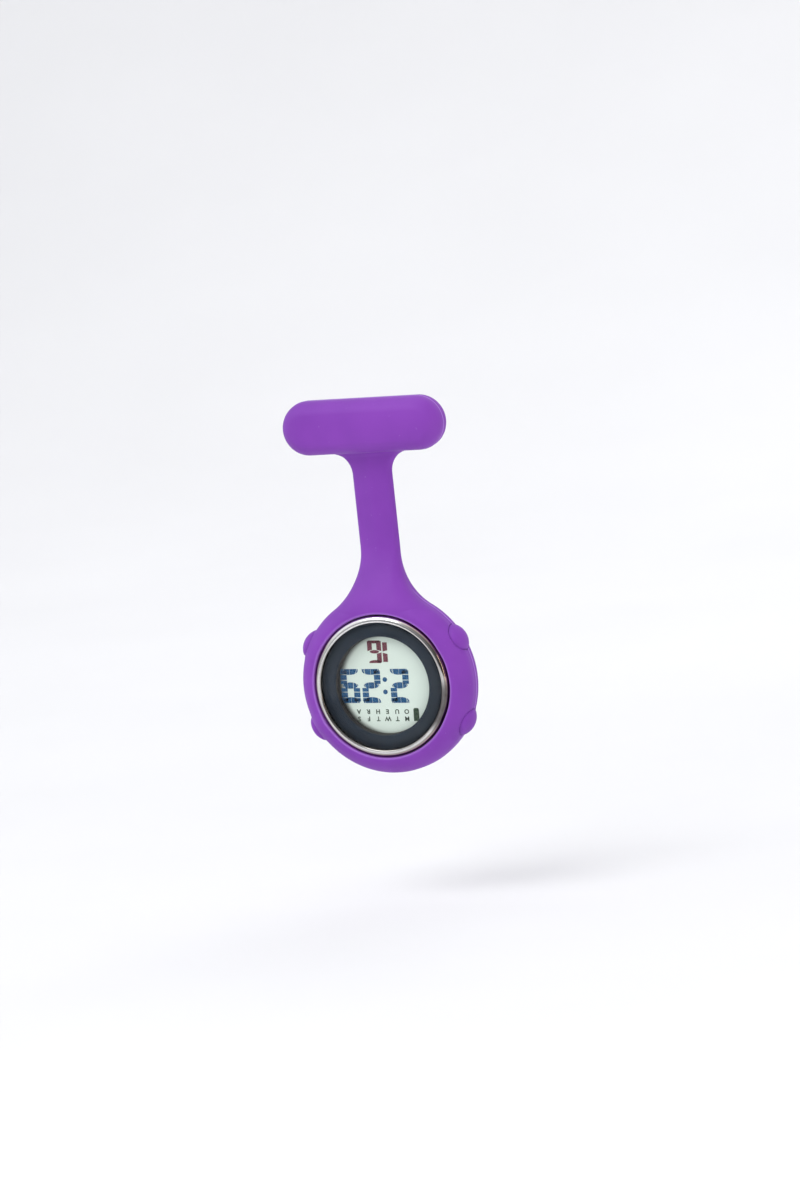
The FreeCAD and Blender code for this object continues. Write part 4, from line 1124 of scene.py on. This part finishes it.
def prisms(name, outlines, material):
    """Thin raised shapes on the display from flat outlines."""
    points, faces = [], []
    for outline in outlines:
        start, count = len(points), len(outline)
        points += [art_point(u, v) for u, v in outline]
        points += [art_point(u, v, ART_HEIGHT) for u, v in outline]
        faces.append([start + i for i in range(count)])
        faces.append([start + count + i for i in range(count)])
        for i in range(count):
            j = (i + 1) % count
            faces.append((start + i, start + j, start + count + j, start + count + i))
    make_piece(name, points, faces, material, smooth=False)


def dot(u, v, radius, steps=28):
    """A round outline."""
    turns = [2 * math.pi * i / steps for i in range(steps)]
    return [(u + radius * math.cos(t), v + radius * math.sin(t)) for t in turns]


def digits():
    """The time in large digits, with its colon, and the seconds in small ones."""
    segments = big_segments()
    outlines = []
    for figure, left in TIME:
        blocks = mitred(segments, LIT[figure])
        outlines += place_blocks(blocks, left, -DIGIT_H / 2 - TIME_DROP, DIGIT_W, DIGIT_H)
    outlines += [dot(u, v, COLON_R) for u, v in COLON]
    prisms("display_time", outlines, "ink")
    seconds = []
    for figure, left, bottom, width, height in SECONDS:
        seconds += place_blocks(small_digit(figure), left, bottom, width, height)
    prisms("display_seconds", seconds, "ink_maroon")


def small_digit(figure):
    """A small digit of plain leaf-shaped segments in a unit cell."""
    segments = {
        "a": half_lens(0.08, 0.92, 1.0, -0.13),
        "g": full_lens(0.16, 0.84, 0.5, 0.075),
        "d": half_lens(0.08, 0.92, 0.0, 0.13),
    }
    for name, left, low, high in (
        ("b", 1 - SIDE_W, 0.53, 0.97),
        ("c", 1 - SIDE_W, 0.03, 0.47),
        ("f", 0.0, 0.53, 0.97),
        ("e", 0.0, 0.03, 0.47),
    ):
        # the inner side is cut back where it faces the middle segment
        inner_low = low + (SLANT if low > 0.5 else 0)
        inner_high = high - (SLANT if high < 0.5 else 0)
        if left > 0.5:
            shape = [(left, inner_low), (1.0, low), (1.0, high), (left, inner_high)]
        else:
            shape = [(0.0, low), (SIDE_W, inner_low), (SIDE_W, inner_high), (0.0, high)]
        segments[name] = shape
    return [segments[name] for name in LIT[figure]]


def letters(name, rows):
    """Small generic letters on the display: (text, x, y) in its upright measure."""
    points, faces = [], []
    for text, u, v in rows:
        curve = bpy.data.curves.new("letter", "FONT")
        curve.body = text
        curve.size = LETTER_SIZE
        curve.align_x = "CENTER"
        curve.align_y = "CENTER"
        curve.resolution_u = 3
        curve.offset = LETTER_WEIGHT
        shape = bpy.data.objects.new("letter", curve)
        bpy.context.scene.collection.objects.link(shape)
        bpy.context.view_layer.update()
        evaluated = shape.evaluated_get(bpy.context.evaluated_depsgraph_get())
        flat = bpy.data.meshes.new_from_object(evaluated)
        start = len(points)
        points += [art_point(u + p.co.x, v + p.co.y, ART_HEIGHT) for p in flat.vertices]
        faces += [[start + i for i in face.vertices] for face in flat.polygons]
        bpy.data.objects.remove(shape)
        bpy.data.meshes.remove(flat)
        bpy.data.curves.remove(curve)
    piece = make_object(name, to_world(points), faces, MATERIALS["ink_label"], smooth=False)
    work = bmesh.new()
    work.from_mesh(piece.data)
    grown = bmesh.ops.extrude_face_region(work, geom=list(work.faces))
    moved = [item for item in grown["geom"] if isinstance(item, bmesh.types.BMVert)]
    bmesh.ops.translate(work, verts=moved, vec=(0, ART_HEIGHT * MM, 0))
    bmesh.ops.remove_doubles(work, verts=work.verts, dist=1e-8)
    bmesh.ops.recalc_face_normals(work, faces=work.faces)
    work.to_mesh(piece.data)
    work.free()
    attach(piece, "watch")


def day_labels():
    """The day initials in two rows, and the marker of the chosen day."""
    rows = []
    for index, day in enumerate(DAYS):
        for initial, v in zip(day, DAY_ROWS):
            rows.append((initial, FIRST_DAY + DAY_STEP * index, v))
    letters("display_days", rows)
    prisms("display_marker", [MARKER], "ink_green")


# ---- build ----

holder()
for side in SIDES:
    button_pad(side)
    button_spring(side)
bezel()
lens()
dial()
spacer()
display_pane()
digits()
day_labels()


# ---- stage, light and camera ----


def floor():
    """A pale floor that curves up into a far backdrop."""
    drop = cad_low.z - 0.03
    width, near, far = 3.0, -1.6, 0.5
    bend, tall, steps = 0.7, 2.4, 16
    profile = [(near, drop), (far, drop)]
    for i in range(1, steps + 1):
        t = math.pi / 2 * i / steps
        profile.append((far + bend * math.sin(t), drop + bend * (1 - math.cos(t))))
    profile.append((far + bend, drop + tall))
    points, faces = [], []
    for y, z in profile:
        points += [(-width, y, z), (width, y, z)]
    for i in range(len(profile) - 1):
        faces.append((2 * i, 2 * i + 1, 2 * i + 3, 2 * i + 2))
    paint = material_paint("studio_floor")
    tone = paint.ramp(paint.noise(6, 3), (0.3, (0.77, 0.77, 0.78)), (0.7, (0.80, 0.80, 0.81)))
    material = paint.surface(base_color=tone, roughness=0.75, specular_ior_level=0.1)
    piece = make_object("studio_floor", points, faces, material)


def area_light(name, place, target, size, power, colour=(1, 1, 1), mirrored=True):
    """A soft light that faces a point; unless mirrored, shiny pieces don't show it."""
    data = bpy.data.lights.new(name, "AREA")
    data.shape = "RECTANGLE"
    data.size, data.size_y = size
    data.energy = power
    data.color = colour
    lamp = bpy.data.objects.new(name, data)
    bpy.context.scene.collection.objects.link(lamp)
    lamp.location = place
    lamp.rotation_mode = "QUATERNION"
    lamp.rotation_quaternion = (Vector(target) - Vector(place)).to_track_quat("-Z", "Y")
    lamp.visible_glossy = mirrored


def lights():
    """Soft studio light: one key from above, fills all round and a warm strip for the chrome."""
    middle = (0, 0, MID_Z * MM * 0.6)  # between the watch and the bar
    area_light("key_top", (-0.22, -0.45, 0.62), middle, (0.45, 0.35), 2.2)
    area_light("fill_left", (-0.65, -0.45, 0.05), middle, (0.5, 0.7), 1.3, mirrored=False)
    area_light("fill_front", (0.60, -0.62, 0.10), middle, (0.6, 0.6), 2.5, mirrored=False)
    area_light("fill_right", (0.80, -0.22, 0.10), middle, (0.5, 0.6), 1.2, mirrored=False)
    area_light("strip_right", (0.55, -0.30, 0.0), middle, (0.05, 0.4), 0.3, (1.0, 0.80, 0.66))
    area_light("rim_back", (0.10, 0.55, 0.50), middle, (0.7, 0.5), 1.0, mirrored=False)
    area_light("backdrop_wash", (0.0, 0.25, 0.9), (0, 1.2, 0.6), (1.6, 0.4), 5.0, mirrored=False)


def surroundings():
    """A room that is dark low down in front, warm at its edge and bright high up behind."""
    world = bpy.data.worlds.new("studio")
    bpy.context.scene.world = world
    paint = Paint(world)
    bright = paint.node("ShaderNodeVectorMath", operation="DOT_PRODUCT")
    paint.set(bright, 0, paint.node("ShaderNodeTexCoord").outputs["Generated"])
    paint.set(bright, 1, Vector((-0.45, 0.40, 0.80)).normalized())
    colour = paint.ramp(
        paint.spread(bright.outputs["Value"], 0, 1, -1, 1),
        (0.0, (0.05, 0.04, 0.035)),
        (0.16, (0.40, 0.26, 0.18)),
        (0.24, (0.07, 0.065, 0.065)),
        (0.46, (0.27, 0.27, 0.28)),
        (0.80, (1.10, 1.12, 1.16)),
    )
    paint.set(paint.tree.nodes["Background"], "Color", colour)


AZIMUTH, ELEVATION, ROLL = 22.5, 8.5, 6.1
DISTANCE = 1.8
FRAME_HIGH = 0.26966  # height in metres that the picture takes in at the watch
FRAME_WIDE = FRAME_HIGH * 2 / 3
WATCH_ACROSS, WATCH_DOWN = 0.4871, 0.5686  # the watch's middle as shares of the picture
SENSOR = 36


def camera():
    """The camera, placed so that the watch's middle falls at its share of the frame."""
    data = bpy.data.cameras.new("camera")
    cam = bpy.data.objects.new("camera", data)
    bpy.context.scene.collection.objects.link(cam)
    bpy.context.scene.camera = cam
    azimuth, elevation = math.radians(AZIMUTH), math.radians(ELEVATION)
    back = Vector(
        (
            math.sin(azimuth) * math.cos(elevation),
            -math.cos(azimuth) * math.cos(elevation),
            math.sin(elevation),
        )
    )
    roll = Matrix.Rotation(math.radians(-ROLL), 3, "Z").to_quaternion()
    turn = (-back).to_track_quat("-Z", "Y") @ roll
    right, up = turn @ Vector((1, 0, 0)), turn @ Vector((0, 1, 0))
    watch = Vector((MID_X, MID_Y, MID_Z)) * MM
    across = (WATCH_ACROSS - 0.5) * FRAME_WIDE
    down = (WATCH_DOWN - 0.5) * FRAME_HIGH
    cam.rotation_mode = "QUATERNION"
    cam.rotation_quaternion = turn
    cam.location = watch - right * across + up * down + back * DISTANCE
    data.sensor_width = SENSOR
    data.lens = SENSOR * DISTANCE / FRAME_HIGH
    data.clip_start, data.clip_end = 0.01, 20


floor()
lights()
surroundings()
camera()
bpy.context.scene.view_settings.view_transform = "Standard"
